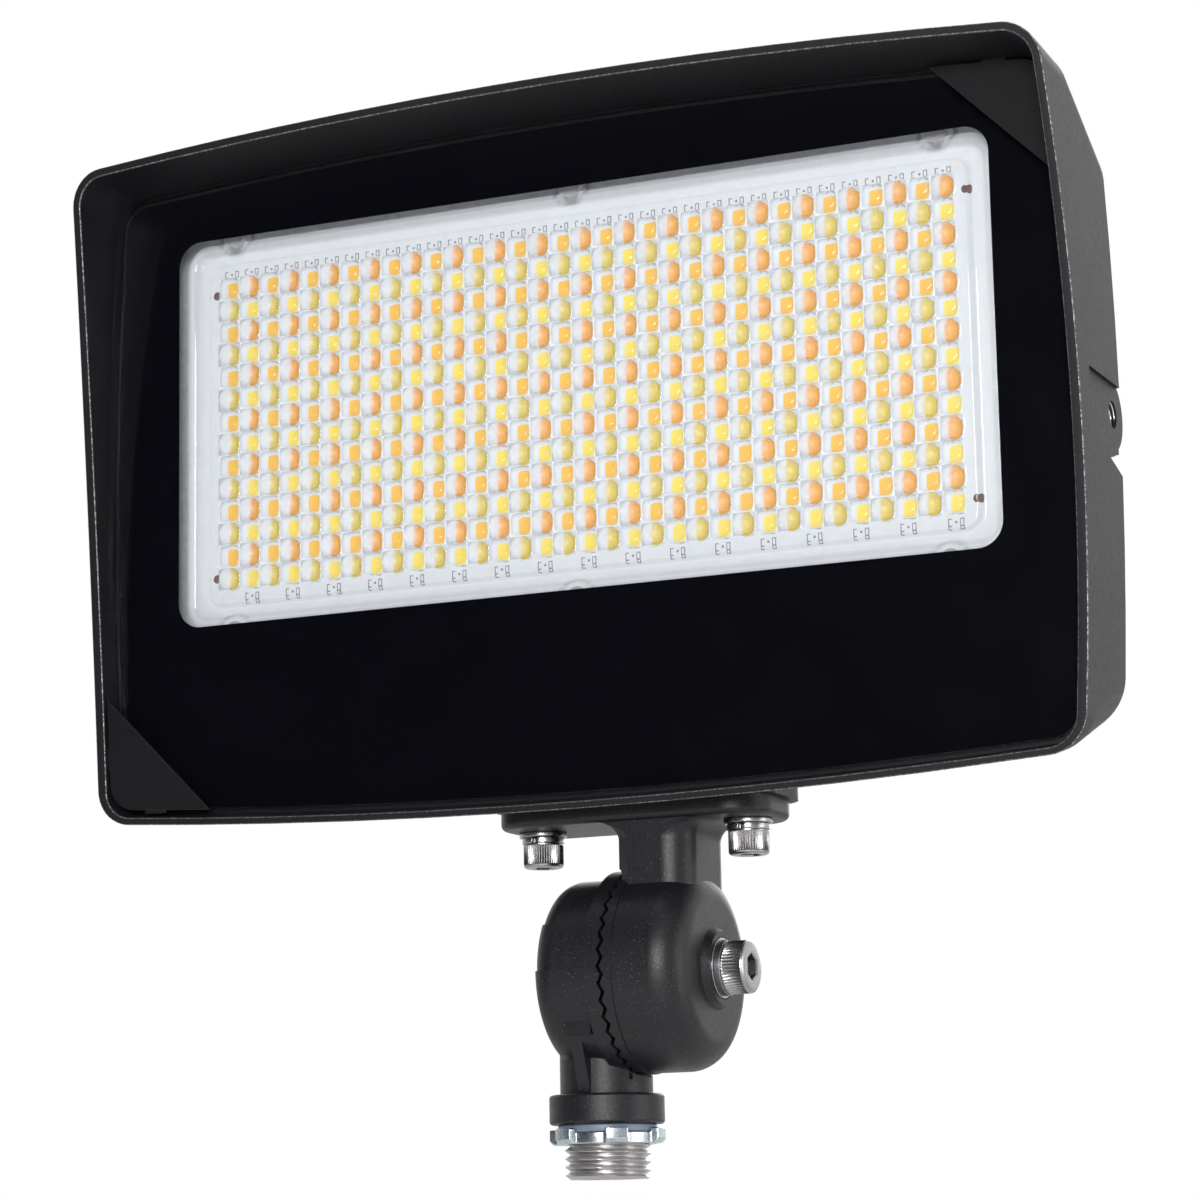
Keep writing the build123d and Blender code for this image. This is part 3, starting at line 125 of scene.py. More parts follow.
class Tree:
    """Builds one node tree."""

    def __init__(self, owner: bpy.types.Material | bpy.types.World) -> None:
        """Empties the owner's tree."""
        owner.use_nodes = True
        self.nodes = owner.node_tree.nodes
        self.links = owner.node_tree.links
        self.nodes.clear()

    def add(self, kind: str, inputs: dict[int | str, Any] | None = None, output: int | str = 0,
            **settings: Any) -> Wire:
        """Adds a node, sets it and joins its inputs.

        Args:
            kind: the node's type name after "ShaderNode".
            inputs: a value or a Wire for each socket, by name or number.
            output: the socket that is returned.
            settings: attributes of the node.

        Returns:
            The chosen output.
        """
        node = self.nodes.new(f"ShaderNode{kind}")
        for name, value in settings.items():
            setattr(node, name, value)
        for name, value in (inputs or {}).items():
            socket = node.inputs[name]
            if isinstance(value, Wire):
                self.links.new(value.socket, socket)
            else:
                socket.default_value = value
        return Wire(self, node.outputs[output])

    def place(self) -> Wire:
        """The point in the piece's own coordinates, in metres."""
        return self.add("TexCoord", output="Object")

    def noise(self, scale: float, detail: float = 2.0, roughness: float = 0.5,
              at: Wire | None = None) -> Wire:
        """Cloudy pattern with about `scale` lumps a metre."""
        return self.add("TexNoise", {"Vector": at or self.place(), "Scale": scale,
                                     "Detail": detail, "Roughness": roughness})

    def cells(self, scale: float) -> Wire:
        """Distance to the nearest of a set of scattered points."""
        return self.add("TexVoronoi", {"Vector": self.place(), "Scale": scale})

    def axis(self, name: str, of: Wire | None = None) -> Wire:
        """One coordinate of a point."""
        return self.add("SeparateXYZ", {0: of or self.place()}, name)

    def blend(self, share: Operand, low: Any, high: Any) -> Wire:
        """Colour between two colours."""
        return self.add("Mix", {0: share, 6: rgba(low), 7: rgba(high)}, 2, data_type="RGBA")

    def bump(self, height: Wire, depth: float, strength: float = 0.5, **more: Wire) -> Wire:
        """Normal of a relief with the given depth in metres."""
        return self.add("Bump", {"Height": height, "Distance": depth, "Strength": strength, **more})

    def clear(self, tint: Colour) -> Wire:
        """A shader that lets light straight through."""
        return self.add("BsdfTransparent", {"Color": rgba(tint)})

    def mix(self, share: Wire, low: Wire, high: Wire) -> Wire:
        """A shader between two shaders."""
        return self.add("MixShader", {0: share, 1: low, 2: high})

    def surface(self, **inputs: Any) -> Wire:
        """A Principled shader; underscores in the names stand for spaces."""
        named = {name.replace("_", " "): value for name, value in inputs.items()}
        return self.add("BsdfPrincipled", named)

    def finish(self, shader: Wire, kind: str = "ShaderNodeOutputMaterial") -> None:
        """Joins the shader to the tree's output node."""
        self.links.new(shader.socket, self.nodes.new(kind).inputs["Surface"])


def rgba(colour: Any) -> Any:
    """A colour with its fourth number, or a Wire as it is."""
    return colour if isinstance(colour, Wire) else (*colour, 1.0)


def scaled(colour: Sequence[float], factor: float) -> Colour:
    """A colour made lighter or darker."""
    return tuple(min(1.0, c * factor) for c in colour)


@dataclass(frozen=True)
class Finish:
    """A named surface, whose kinds each paint their own nodes."""

    name: str

    def build(self) -> bpy.types.Material:
        """Returns the material."""
        material = bpy.data.materials.new(self.name)
        self.paint(Tree(material))
        return material

    def paint(self, tree: Tree) -> None:
        """Fills the material's tree."""
        raise NotImplementedError


@dataclass(frozen=True)
class PowderCoat(Finish):
    """Textured powder coat on cast metal."""

    colour: Colour
    roughness: float = 0.5
    patches: float = 38.0        # lumps a metre, as are the next three
    smears: float = 900.0
    grain: float = 2600.0
    peel: float = 260.0
    grain_depth: float = 0.00004
    peel_depth: float = 0.00003
    sparkle: float = 0.0         # how much lighter the flakes are: real flakes, painted lighter as glints
    flakes: float = 1500.0       # places for a flake in a metre
    flake: Colour = (0.45, 0.45, 0.48)
    gloss: float = 0.28

    def paint(self, tree: Tree) -> None:
        """Adds cloudy colour, flakes painted lighter as glints, fine grain and orange peel."""
        patches = tree.noise(self.patches, 3.0)
        colour = tree.blend(patches.step(0.3, 0.7), scaled(self.colour, 0.88),
                            scaled(self.colour, 1.12))
        if self.sparkle > 0.0:
            # The coat's flakes are painted lighter, standing in for their glints.
            near = 1.0 - tree.cells(self.flakes).step(0.05, 0.15)
            chosen = tree.noise(self.flakes * 0.7, 1.0).step(0.47, 0.53)
            colour = tree.blend(near * chosen * self.sparkle, colour, self.flake)
        rough = tree.noise(self.smears) * 0.16 + (self.roughness - 0.08)
        fine = tree.noise(self.grain, roughness=0.6)
        peel = tree.bump(tree.noise(self.peel, 1.0), self.peel_depth, 0.6)
        normal = tree.bump(fine, self.grain_depth, 0.8, Normal=peel)
        tree.finish(tree.surface(Base_Color=colour, Roughness=rough, Normal=normal,
                                 Specular_IOR_Level=self.gloss))


@dataclass(frozen=True)
class PaintedEdgeHighlight(Finish):
    """Painted highlight along a rounded edge: a lighter, partly metallic tone in dots over the coat."""

    coat: Colour
    highlight_tone: Colour = (0.27, 0.27, 0.28)
    least: float = 0.15          # share of the painted highlight between the dots
    roughness: float = 0.36
    dots: float = 1700.0         # dots a metre
    grain: float = 2600.0        # lumps a metre

    def paint(self, tree: Tree) -> None:
        """Adds the painted highlight in dots, and a fine grain."""
        highlight_share = tree.noise(self.dots).step(0.46, 0.60) * (1.0 - self.least) + self.least
        grain = tree.noise(self.grain)
        tree.finish(tree.surface(Base_Color=tree.blend(highlight_share, self.coat, self.highlight_tone),
                                 Metallic=highlight_share * 0.8, Roughness=grain * 0.1 + self.roughness,
                                 Normal=tree.bump(grain, 0.00002)))


@dataclass(frozen=True)
class Metal(Finish):
    """Bare or plated metal with fine working marks."""

    colour: Colour
    roughness: float = 0.25
    streak: Triple = (1.0, 1.0, 1.0)     # how closely the marks lie along each axis
    mottle: float = 0.0
    tint: Colour = (0.5, 0.55, 0.65)
    marks: float = 1.0           # strength of the working marks
    grain: float = 1400.0        # marks a metre
    stains: float = 240.0        # stains a metre

    def paint(self, tree: Tree) -> None:
        """Adds the working marks and stains."""
        stretched = tree.add("Mapping", {"Vector": tree.place(), "Scale": self.streak})
        marks = tree.noise(self.grain, 3.0, 0.6, stretched)
        stains = tree.noise(self.stains, 3.0, 0.6)
        colour = tree.blend(marks.step(0.3, 0.7), scaled(self.colour, 1.0 - 0.14 * self.marks),
                            scaled(self.colour, 1.0 + 0.1 * self.marks))
        if self.mottle > 0.0:
            colour = tree.blend(stains.step(0.4, 0.62) * self.mottle, colour, self.tint)
        rough = marks * (0.12 * self.marks) + stains * 0.08 + (self.roughness - 0.1)
        normal = tree.bump(marks, 0.00001 * self.marks)
        tree.finish(tree.surface(Base_Color=colour, Metallic=1.0, Roughness=rough, Normal=normal))


@dataclass(frozen=True)
class Plastic(Finish):
    """Moulded plastic, rubber, enamel or board mask."""

    colour: Colour
    roughness: float = 0.4
    specks: float = 0.05
    scale: float = 500.0
    depth: float = 0.00001
    gloss: float = 0.5

    def paint(self, tree: Tree) -> None:
        """Adds a cloudy colour and a slight relief."""
        cloud = tree.noise(self.scale, 3.0)
        colour = tree.blend(cloud.step(0.3, 0.7), scaled(self.colour, 1.0 - self.specks),
                            scaled(self.colour, 1.0 + self.specks))
        rough = cloud * 0.1 + (self.roughness - 0.05)
        tree.finish(tree.surface(Base_Color=colour, Roughness=rough, Specular_IOR_Level=self.gloss,
                                 Normal=tree.bump(cloud, self.depth)))


@dataclass(frozen=True)
class Clear(Finish):
    """Thin clear surface: light passes straight through, and the face shines."""

    tint: Colour = (0.985, 0.99, 0.99)
    face_on: float = 0.012       # share of light that shines back, seen square on
    edge_on: float = 0.8         # the same, seen along the face
    sharpness: float = 5.0
    mirror: Colour = (0.9, 0.92, 0.93)
    roughness: float = 0.02
    smears: float = 60.0         # smears a metre

    def paint(self, tree: Tree) -> None:
        """Adds the clear and the shining share; the latter grows as slant ** sharpness."""
        slant = tree.add("LayerWeight", {"Blend": 0.5}, "Facing")
        share = slant ** self.sharpness * (self.edge_on - self.face_on) + self.face_on
        through = tree.clear(self.tint)
        smears = tree.noise(self.smears)
        shine = tree.surface(Base_Color=rgba(self.mirror), Metallic=1.0,
                             Roughness=smears * 0.02 + self.roughness)
        tree.finish(tree.mix(share, through, shine))


@dataclass(frozen=True)
class Moulding(Finish):
    """Thick clear plastic: it bends what is seen through it, and lets lamps reach what is behind."""

    tint: Colour = (0.985, 0.99, 1.0)
    edge: Colour = (0.10, 0.11, 0.135)   # colour of the painted shade
    index: float = 1.45
    roughness: float = 0.02
    blur: float = 0.34           # added roughness where the "blurred" attribute is 1
    streaks: float = 700.0       # streaks a metre in the painted shade

    def paint(self, tree: Tree) -> None:
        """Reads the painted shade and the blur of each point from the mesh's own attributes; the
        painted shade darkens the tint.
        """
        painted_shade = tree.add("Attribute", output="Fac", attribute_name="painted_shade")
        blurred = tree.add("Attribute", output="Fac", attribute_name="blurred")
        streaks = tree.noise(self.streaks) * 0.5 + 0.75
        colour = tree.blend(painted_shade * streaks, self.tint, self.edge)
        solid = tree.surface(Base_Color=colour, Roughness=blurred * self.blur + self.roughness,
                             IOR=self.index, Transmission_Weight=1.0)
        through = tree.clear(self.tint)
        shadow = tree.add("LightPath", output="Is Shadow Ray")
        bounce = tree.add("LightPath", output="Is Diffuse Ray")
        tree.finish(tree.mix(shadow.math("MAXIMUM", bounce), solid, through))


@dataclass(frozen=True)
class Phosphor(Finish):
    """Phosphor of a light emitting package, of another tone at its edge."""

    colour: Colour
    edge: Colour
    grain: float = 2200.0        # grains a metre

    def paint(self, tree: Tree) -> None:
        """Shades each package by its own map, which runs over it from 0 to 1."""
        place = tree.add("UVMap", uv_map="package")
        across = tree.axis("X", place) - 0.5
        along = tree.axis("Y", place) - 0.5
        radius = (across * across + along * along) ** 0.5 * 2.0
        grain = tree.noise(self.grain)
        mask = radius.step(0.55, 1.25) * 0.8 + grain * 0.12
        colour = tree.blend(mask, self.colour, self.edge)
        tree.finish(tree.surface(Base_Color=colour, Roughness=grain * 0.1 + 0.45,
                                 Normal=tree.bump(grain, 0.00001)))


@dataclass
class Mesher:
    """Turns arrays of points into objects that ride on a body."""

    materials: dict[str, bpy.types.Material]
    crispness: float = 0.1       # share of the rounding that crisp edges get
    segments: int = 2            # steps across a rounding
    edge_angle: float = math.radians(28.0)   # only edges that turn by more are rounded
    face_weight: int = 60        # how much the large faces lead the shading of the small ones

    def make(self, name: str, points: Array, faces: Sequence[Sequence[int]], ride: Ride,
             finish: str, smooth: bool = True) -> Piece:
        """Makes an object from points and faces.

        Args:
            name: the piece's name.
            points: N by 3 array in metres.
            faces: vertex numbers of each face.
            ride: the body it moves with.
            finish: the name of its material.
            smooth: whether its faces are shaded smooth.

        Returns:
            The new object.
        """
        mesh = bpy.data.meshes.new(name)
        mesh.from_pydata(points.tolist(), [], [list(f) for f in faces])
        mesh.update()
        return self.place(name, mesh, ride, finish, smooth)

    def place(self, name: str, mesh: bpy.types.Mesh, ride: Ride, finish: str,
              smooth: bool = True) -> Piece:
        """Links a mesh as a piece of the object."""
        mesh.materials.append(self.materials[finish])
        mesh.polygons.foreach_set("use_smooth", [smooth] * len(mesh.polygons))
        piece = linked(name, mesh)
        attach(piece, ride.value)
        LOG.info("made %s with %d faces", name, len(mesh.polygons))
        return piece

    def shell(self, name: str, grids: Sequence[Array], ride: Ride, finish: str,
              sharp: float = 32.0) -> Piece:
        """Makes closed shells from grids that wind round an axis, from pole to pole or in a ring.

        Args:
            name: the piece's name.
            grids: arrays of rows by columns by 3 in metres; columns wrap round.
            ride: the body it moves with.
            finish: the name of its material.
            sharp: edges that turn by more than this, in degrees, look sharp.

        Returns:
            The new object.
        """
        points = np.concatenate([g.reshape(-1, 3) for g in grids])
        starts = np.cumsum([0] + [g.shape[0] * g.shape[1] for g in grids])
        faces = np.concatenate([grid_faces(g.shape[0], g.shape[1], True) + start
                                for g, start in zip(grids, starts)])
        piece = self.make(name, points, faces, ride, finish)
        solid = opened(piece.data)
        bmesh.ops.remove_doubles(solid, verts=solid.verts, dist=GRID_MERGE)
        closed(solid, piece.data, sharp)
        return piece

    def settle(self, name: str, solid: Solid, ride: Ride, finish: str,
               smooth: bool = True) -> Piece:
        """Makes an object from an edited mesh, and frees the latter."""
        mesh = bpy.data.meshes.new(name)
        solid.to_mesh(mesh)
        solid.free()
        return self.place(name, mesh, ride, finish, smooth)

    def soften(self, node: str, ride: Ride, finish: str, width: float, cut: Cut | None = None,
               crisp: Pair | None = None, worn: str | None = None,
               ahead: float = math.inf) -> Piece:
        """Copies a node with its edges rounded, and shows the copy in its place.

        Args:
            node: the node's name.
            ride: the body it moves with.
            finish: the name of its material.
            width: width of the rounding in metres.
            cut: takes away what another piece shows.
            crisp: from and to which x the edges stay crisp, in metres.
            worn: the name of the material that the rounded edges take, which paints a highlight along
                them.
            ahead: only edges whose y is less than this are rounded, in metres.

        Returns:
            The new object.
        """
        solid = merged(node, cut)
        weight = solid.edges.layers.float.new("bevel_weight_edge")
        for edge in solid.edges:
            middle = (edge.verts[0].co.x + edge.verts[1].co.x) / 2
            sharp = crisp is not None and crisp[0] < middle < crisp[1]
            flat = edge.calc_face_angle(0.0) < self.edge_angle
            behind = max(v.co.y for v in edge.verts) > ahead
            edge[weight] = 0.0 if flat or behind else (self.crispness if sharp else 1.0)
            edge.smooth = flat or not behind
        piece = self.settle(f"{node}_soft", solid, ride, finish)
        bevel = piece.modifiers.new("rounding", "BEVEL")
        bevel.width = width
        bevel.segments = self.segments
        bevel.limit_method = "WEIGHT"
        # the rounded edges take the material of the painted highlight
        if worn:
            piece.data.materials.append(self.materials[worn])
            bevel.material = 1
        bevel.use_clamp_overlap = True
        bevel.miter_outer = "MITER_ARC"
        shade = piece.modifiers.new("shade", "WEIGHTED_NORMAL")
        shade.keep_sharp = True
        shade.weight = self.face_weight
        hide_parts(node)
        return piece

    def dress(self, node: str, finish: str) -> None:
        """Gives a node that stays in view its finish."""
        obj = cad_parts[node]
        obj.data.materials.clear()
        obj.data.materials.append(self.materials[finish])


def linked(name: str, data: Any) -> Piece:
    """Makes an object of its data and adds it to the scene."""
    piece = bpy.data.objects.new(name, data)
    bpy.context.scene.collection.objects.link(piece)
    return piece


def grid_faces(rows: int, columns: int, around: bool) -> Array:
    """Quads of a grid of points, whose columns wrap round where asked."""
    steps = columns if around else columns - 1
    i, j = (part.ravel() for part in np.meshgrid(np.arange(rows - 1), np.arange(steps), indexing="ij"))
    here, below, right = i * columns, (i + 1) * columns, (j + 1) % columns
    return np.stack([here + j, here + right, below + right, below + j], axis=1)


def norm(u: Array, v: Array, power: float) -> Array:
    """Distance from the origin in a rounded square's measure: (|u|^p + |v|^p)^(1/p)."""
    return (np.abs(u) ** power + np.abs(v) ** power) ** (1 / power)


def bell(x: Array, middle: float, width: float) -> Array:
    """Bell curve: exp(-((x - middle) / width)^2)."""
    return np.exp(-((x - middle) / width) ** 2)


def opened(mesh: bpy.types.Mesh) -> Solid:
    """A copy of a mesh that can be edited."""
    solid = bmesh.new()
    solid.from_mesh(mesh)
    return solid


def closed(solid: Solid, mesh: bpy.types.Mesh, sharp: float) -> None:
    """Writes an edited copy back, with its faces outwards and edges over `sharp` degrees sharp."""
    bmesh.ops.recalc_face_normals(solid, faces=solid.faces)
    solid.to_mesh(mesh)
    solid.free()
    mesh.set_sharp_from_angle(angle=math.radians(sharp))


def merged(node: str, cut: Cut | None = None) -> Solid:
    """A copy of a node's mesh with its doubles and flat faces joined, after an optional cut."""
    solid = opened(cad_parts[node].data)
    bmesh.ops.remove_doubles(solid, verts=solid.verts, dist=CAD_MERGE)
    if cut:
        cut(solid)
    bmesh.ops.dissolve_limit(solid, angle_limit=FLAT, verts=solid.verts, edges=solid.edges)
    return solid


def circle(steps: int) -> Array:
    """A row of angles that divide a full turn."""
    return np.linspace(0, 2 * np.pi, steps, endpoint=False)[None, :]


def helix(along: Array, pitch: float, steps: int) -> Array:
    """Zigzag of a thread: 2 |f - 1/2|, with f the fraction of (place / pitch + angle / turn)."""
    return 2 * np.abs(np.mod(along / pitch + circle(steps) / (2 * np.pi), 1.0) - 0.5)


def turned(along: Array, radius: Array, centre: Sequence[float], axis: str) -> Array:
    """Points of a surface wound round an axis: centre + radius * (cos t, sin t) across the axis.

    Args:
        along: array of rows by 1 or by steps, of places along the axis, in metres.
        radius: rows by steps array of distances from the axis, in metres.
        centre: a point on the axis.
        axis: "X" or "Z".

    Returns:
        An array of rows by steps by 3.
    """
    angle = circle(radius.shape[1])
    a, b = radius * np.cos(angle), radius * np.sin(angle)
    along = np.broadcast_to(along, radius.shape)
    order = {"X": (along, a, b), "Z": (a, b, along)}[axis]
    return np.stack(order, axis=-1) + np.array(centre)


@dataclass
class Casings:
    """The cast and moulded pieces that keep the frame's shapes, with rounded edges."""

    mesher: Mesher
    rim_rounding: float = 0.3 * MM
    rim_y: float = -22.0 * MM    # the visor's rim is ahead of this
    knuckle_rounding: float = 0.7 * MM
    lower_rounding: float = 0.14 * MM
    plate_rounding: float = 0.15 * MM
    teeth: Pair = (8.3 * MM, 11.1 * MM)   # where the castings meet, along the pivot
    seat: float = 0.05 * MM      # how far below the collar the casting is cut off

    def cut_nipple(self, solid: Solid) -> None:
        """Takes the nipple off the lower casting and closes the cut round the bore."""
        bmesh.ops.bisect_plane(solid, geom=solid.verts[:] + solid.edges[:] + solid.faces[:],
                               plane_co=(0, 0, -self.seat), plane_no=(0, 0, -1), clear_outer=True)
        edges = [edge for edge in solid.edges if edge.is_boundary]
        bmesh.ops.triangle_fill(solid, use_beauty=True, edges=edges, normal=(0, 0, -1))

    def build(self) -> None:
        """Makes the housing, the castings and the small hardware."""
        soft = self.mesher.soften
        # The rounded edges of the rim, the lower knuckle and the corner plates take a painted
        # highlight.
        soft("housing", Ride.HEAD, "housing", self.rim_rounding, worn="housing_edge_highlight", ahead=self.rim_y)
        soft("knuckle_upper", Ride.HEAD, "knuckle", self.knuckle_rounding, crisp=self.teeth)
        soft("knuckle_lower", Ride.BASE, "knuckle", self.lower_rounding, cut=self.cut_nipple,
             crisp=self.teeth, worn="knuckle_edge_highlight")
        for node in ("corner_plate_top", "corner_plate_bottom"):
            soft(node, Ride.HEAD, "corner", self.plate_rounding, worn="plate_edge_highlight")
        for node, ride, finish, width_mm in (("locknut", Ride.NUT, "zinc", 0.45),
                                             ("sealing_washer", Ride.WASHER, "washer", 0.4),
                                             ("pivot_washer", Ride.HEAD, "stainless", 0.2),
                                             ("pivot_split_washer", Ride.HEAD, "dark_steel", 0.2),
                                             ("mount_split_washers", Ride.HEAD, "stainless", 0.3),
                                             ("mount_flat_washers", Ride.HEAD, "stainless", 0.25),
                                             ("switch_plug", Ride.HEAD, "rubber", 0.3)):
            soft(node, ride, finish, width_mm * MM)
        for finish, nodes in (("housing", "driver_cover"), ("zinc", "pivot_nut driver_screws"),
                              ("silicone", "glass_seal heat_pad driver_cover_seal"),
                              ("enamel", "glass_print"), ("board", "led_board"),
                              ("lens_screw", "lens_screws"), ("case", "driver"),
                              ("stainless", "driver_cover_screws"), ("green", "switch_board"),
                              ("rubber", "switch_body switch_plug_ring wire_way_ring"),
                              ("knob", "switch_knob")):
            for node in nodes.split():
                self.mesher.dress(node, finish)


@dataclass
class SocketScrews:
    """Socket head screws with knurled heads and hexagonal recesses."""

    mesher: Mesher
    ribs: int = 48
    rib_depth: float = 0.3 * MM
    pivot_head: Pair = (6.5 * MM, 5.9 * MM)      # radius and height
    pivot_socket: Pair = (6.0 * MM, 4.0 * MM)    # width over flats and depth
    mount_head: Pair = (5.0 * MM, 6.0 * MM)
    mount_socket: Pair = (5.0 * MM, 3.0 * MM)
    pivot_shank: float = 4.0 * MM
    mount_shank: float = 3.0 * MM

    def screw(self, head: Pair, socket: Pair, shank: float, length: float,
              start: float, sense: float, centre: Sequence[float], axis: str) -> Array:
        """Grid of a screw, from the bottom of its recess over its head to the shank's tip.

        Each row has a place, a radius, a share of the knurl cos(ribs * t) and a share of the hexagon,
        whose radius at angle t is a / cos((t + 30 degrees) mod 60 degrees - 30 degrees).

        Args:
            head: radius and height.
            socket: width over flats and depth.
            shank: radius of the shank.
            length: whole length with the head.
            start: place of the head's outer face along the axis.
            sense: 1 if the shank runs towards higher places, else -1.
            centre: a point on the axis.
            axis: "X" or "Z".

        Returns:
            The grid of points.
        """
        radius, height = head
        flat, depth = socket[0] / 2, socket[1]
        rows = np.array([
            (depth + 0.8 * MM, 0.0, 0, 0), (depth, flat, 0, 1), (depth, flat, 0, 1),
            (0.35 * MM, flat, 0, 1), (0.35 * MM, flat, 0, 1), (0.0, flat + 0.3 * MM, 0, 1),
            (0.0, flat * CORNER_SHARE + 0.5 * MM, 0, 0), (0.0, radius - 0.8 * MM, 0, 0),
            (0.12 * MM, radius - 0.45 * MM, 0, 0), (0.4 * MM, radius - 0.12 * MM, 0, 0),
            (0.8 * MM, radius, 0, 0), (1.0 * MM, radius, 1, 0),
            (height - 0.5 * MM, radius, 1, 0), (height - 0.35 * MM, radius, 0, 0),
            (height - 0.1 * MM, radius, 0, 0), (height, radius - 0.15 * MM, 0, 0),
            (height, shank, 0, 0), (length - 0.5 * MM, shank, 0, 0),
            (length, shank - 0.5 * MM, 0, 0), (length, 0.0, 0, 0)])
        angle = circle(4 * self.ribs)
        hexagon = 1 / np.cos(np.mod(angle + np.pi / 6, np.pi / 3) - np.pi / 6)
        knurl = -self.rib_depth * (0.5 - 0.5 * np.cos(self.ribs * angle))
        base = rows[:, 1:2]
        reach = base * (1 + rows[:, 3:4] * (hexagon - 1)) + rows[:, 2:3] * knurl
        return turned(start + sense * rows[:, :1], reach, centre, axis)

    def build(self) -> None:
        """Makes the pivot screw, and the two screws of the plate as one piece."""
        low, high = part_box("pivot_bolt")
        middle = (0.0, (low[1] + high[1]) / 2, (low[2] + high[2]) / 2)
        pivot = self.screw(self.pivot_head, self.pivot_socket, self.pivot_shank, high[0] - low[0],
                           high[0], -1.0, middle, "X")
        piece = self.mesher.shell("pivot_screw", [pivot], Ride.HEAD, "stainless")
        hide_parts("pivot_bolt")
        low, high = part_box("mount_screws")
        grids = [self.screw(self.mount_head, self.mount_socket, self.mount_shank, high[2] - low[2],
                            low[2], 1.0, (x, (low[1] + high[1]) / 2, 0.0), "Z")
                 for x in (low[0] + self.mount_head[0], high[0] - self.mount_head[0])]
        piece = self.mesher.shell("plate_screws", grids, Ride.HEAD, "stainless")
        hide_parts("mount_screws")


@dataclass
class SideHoles:
    """Cut threads in the holes at both sides of the head."""

    mesher: Mesher
    mouth_x: float = 133.3 * MM
    bottom_x: float = 122.5 * MM
    centre_y: float = 4.5 * MM
    centre_z: float = 164.0 * MM
    root: float = 3.42 * MM
    crest: float = 3.05 * MM
    wall: float = 3.9 * MM
    pitch: float = 1.25 * MM
    steps: int = 48

    def build(self) -> None:
        """Makes both threads as tubes, whose bore is crest + (root - crest) * helix."""
        along = np.arange(self.mouth_x, self.bottom_x, -self.pitch / 6)[:, None]
        bore = self.crest + (self.root - self.crest) * helix(along, self.pitch, self.steps)
        radius = np.concatenate([bore, np.full((2, self.steps), self.wall), bore[:1]])
        places = np.concatenate([along, along[-1:], along[:1], along[:1]])
        right = turned(places, radius, (0.0, self.centre_y, self.centre_z), "X")
        left = right * np.array([-1, 1, 1])
        piece = self.mesher.shell("side_hole_threads", [right, left], Ride.HEAD, "hole_thread",
                                  sharp=60.0)


@dataclass
class Nipple:
    """The threaded nipple under the collar."""

    mesher: Mesher
    crest_radius: float = 10.475 * MM
    bore_radius: float = 7.4 * MM
    thread_depth: float = 1.15 * MM
    pitch: float = 2.0 * MM
    length: float = 13.2 * MM
    plain: float = 2.2 * MM      # unthreaded height under the collar
    chamfer: float = 0.7 * MM
    bore_chamfer: float = 0.3 * MM
    crest_flat: float = 0.12     # share of the pitch that the crest takes
    flank: float = 0.74          # share of the pitch that both flanks take
    seat: float = 0.05 * MM
    steps: int = 96

    def grid(self) -> Array:
        """Grid of the nipple, down its helix, over its end and up its bore.

        The thread's radius is crest - depth * g(helix), where g is a ramp with a flat crest and a
        flat root. The depth fades in below the plain part.
        """
        heights = np.arange(-self.seat, -self.length, -self.pitch / 10)
        z = np.append(heights, -self.length)[:, None]
        ridge = np.clip((helix(z, self.pitch, self.steps) - self.crest_flat) / self.flank, 0, 1)
        fade = np.clip((-self.plain - z) / self.pitch + 0.5, 0, 1)
        outer = self.crest_radius - self.thread_depth * ridge * fade
        limit = self.crest_radius + np.clip(z + self.length - self.chamfer, None, 0)
        outer = np.minimum(outer, limit)
        ends = np.array([(-self.length, self.bore_radius + self.bore_chamfer),
                         (-self.length + self.bore_chamfer, self.bore_radius),
                         (-self.seat, self.bore_radius)])
        inner = np.repeat(ends[:, 1:], self.steps, axis=1)
        along = np.concatenate([z, ends[:, :1], z[:1]])
        radius = np.concatenate([outer, inner, outer[:1]])
        return turned(along, radius, (0, 0, 0), "Z")

    def build(self) -> None:
        """Makes the nipple."""
        piece = self.mesher.shell("threaded_nipple", [self.grid()], Ride.BASE, "thread", sharp=50.0)


@dataclass
class Window:
    """The front glass."""

    mesher: Mesher
    shrink: float = 0.05 * MM

    def build(self) -> None:
        """Makes the glass a little thinner than its node, so that no two faces lie together."""
        solid = merged("window_glass")
        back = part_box("window_glass")[1][1] - self.shrink
        for vertex in solid.verts:
            vertex.co.y = min(vertex.co.y, back)
        piece = self.mesher.settle("glass_pane", solid, Ride.HEAD, "glass", smooth=False)
        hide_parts("window_glass")


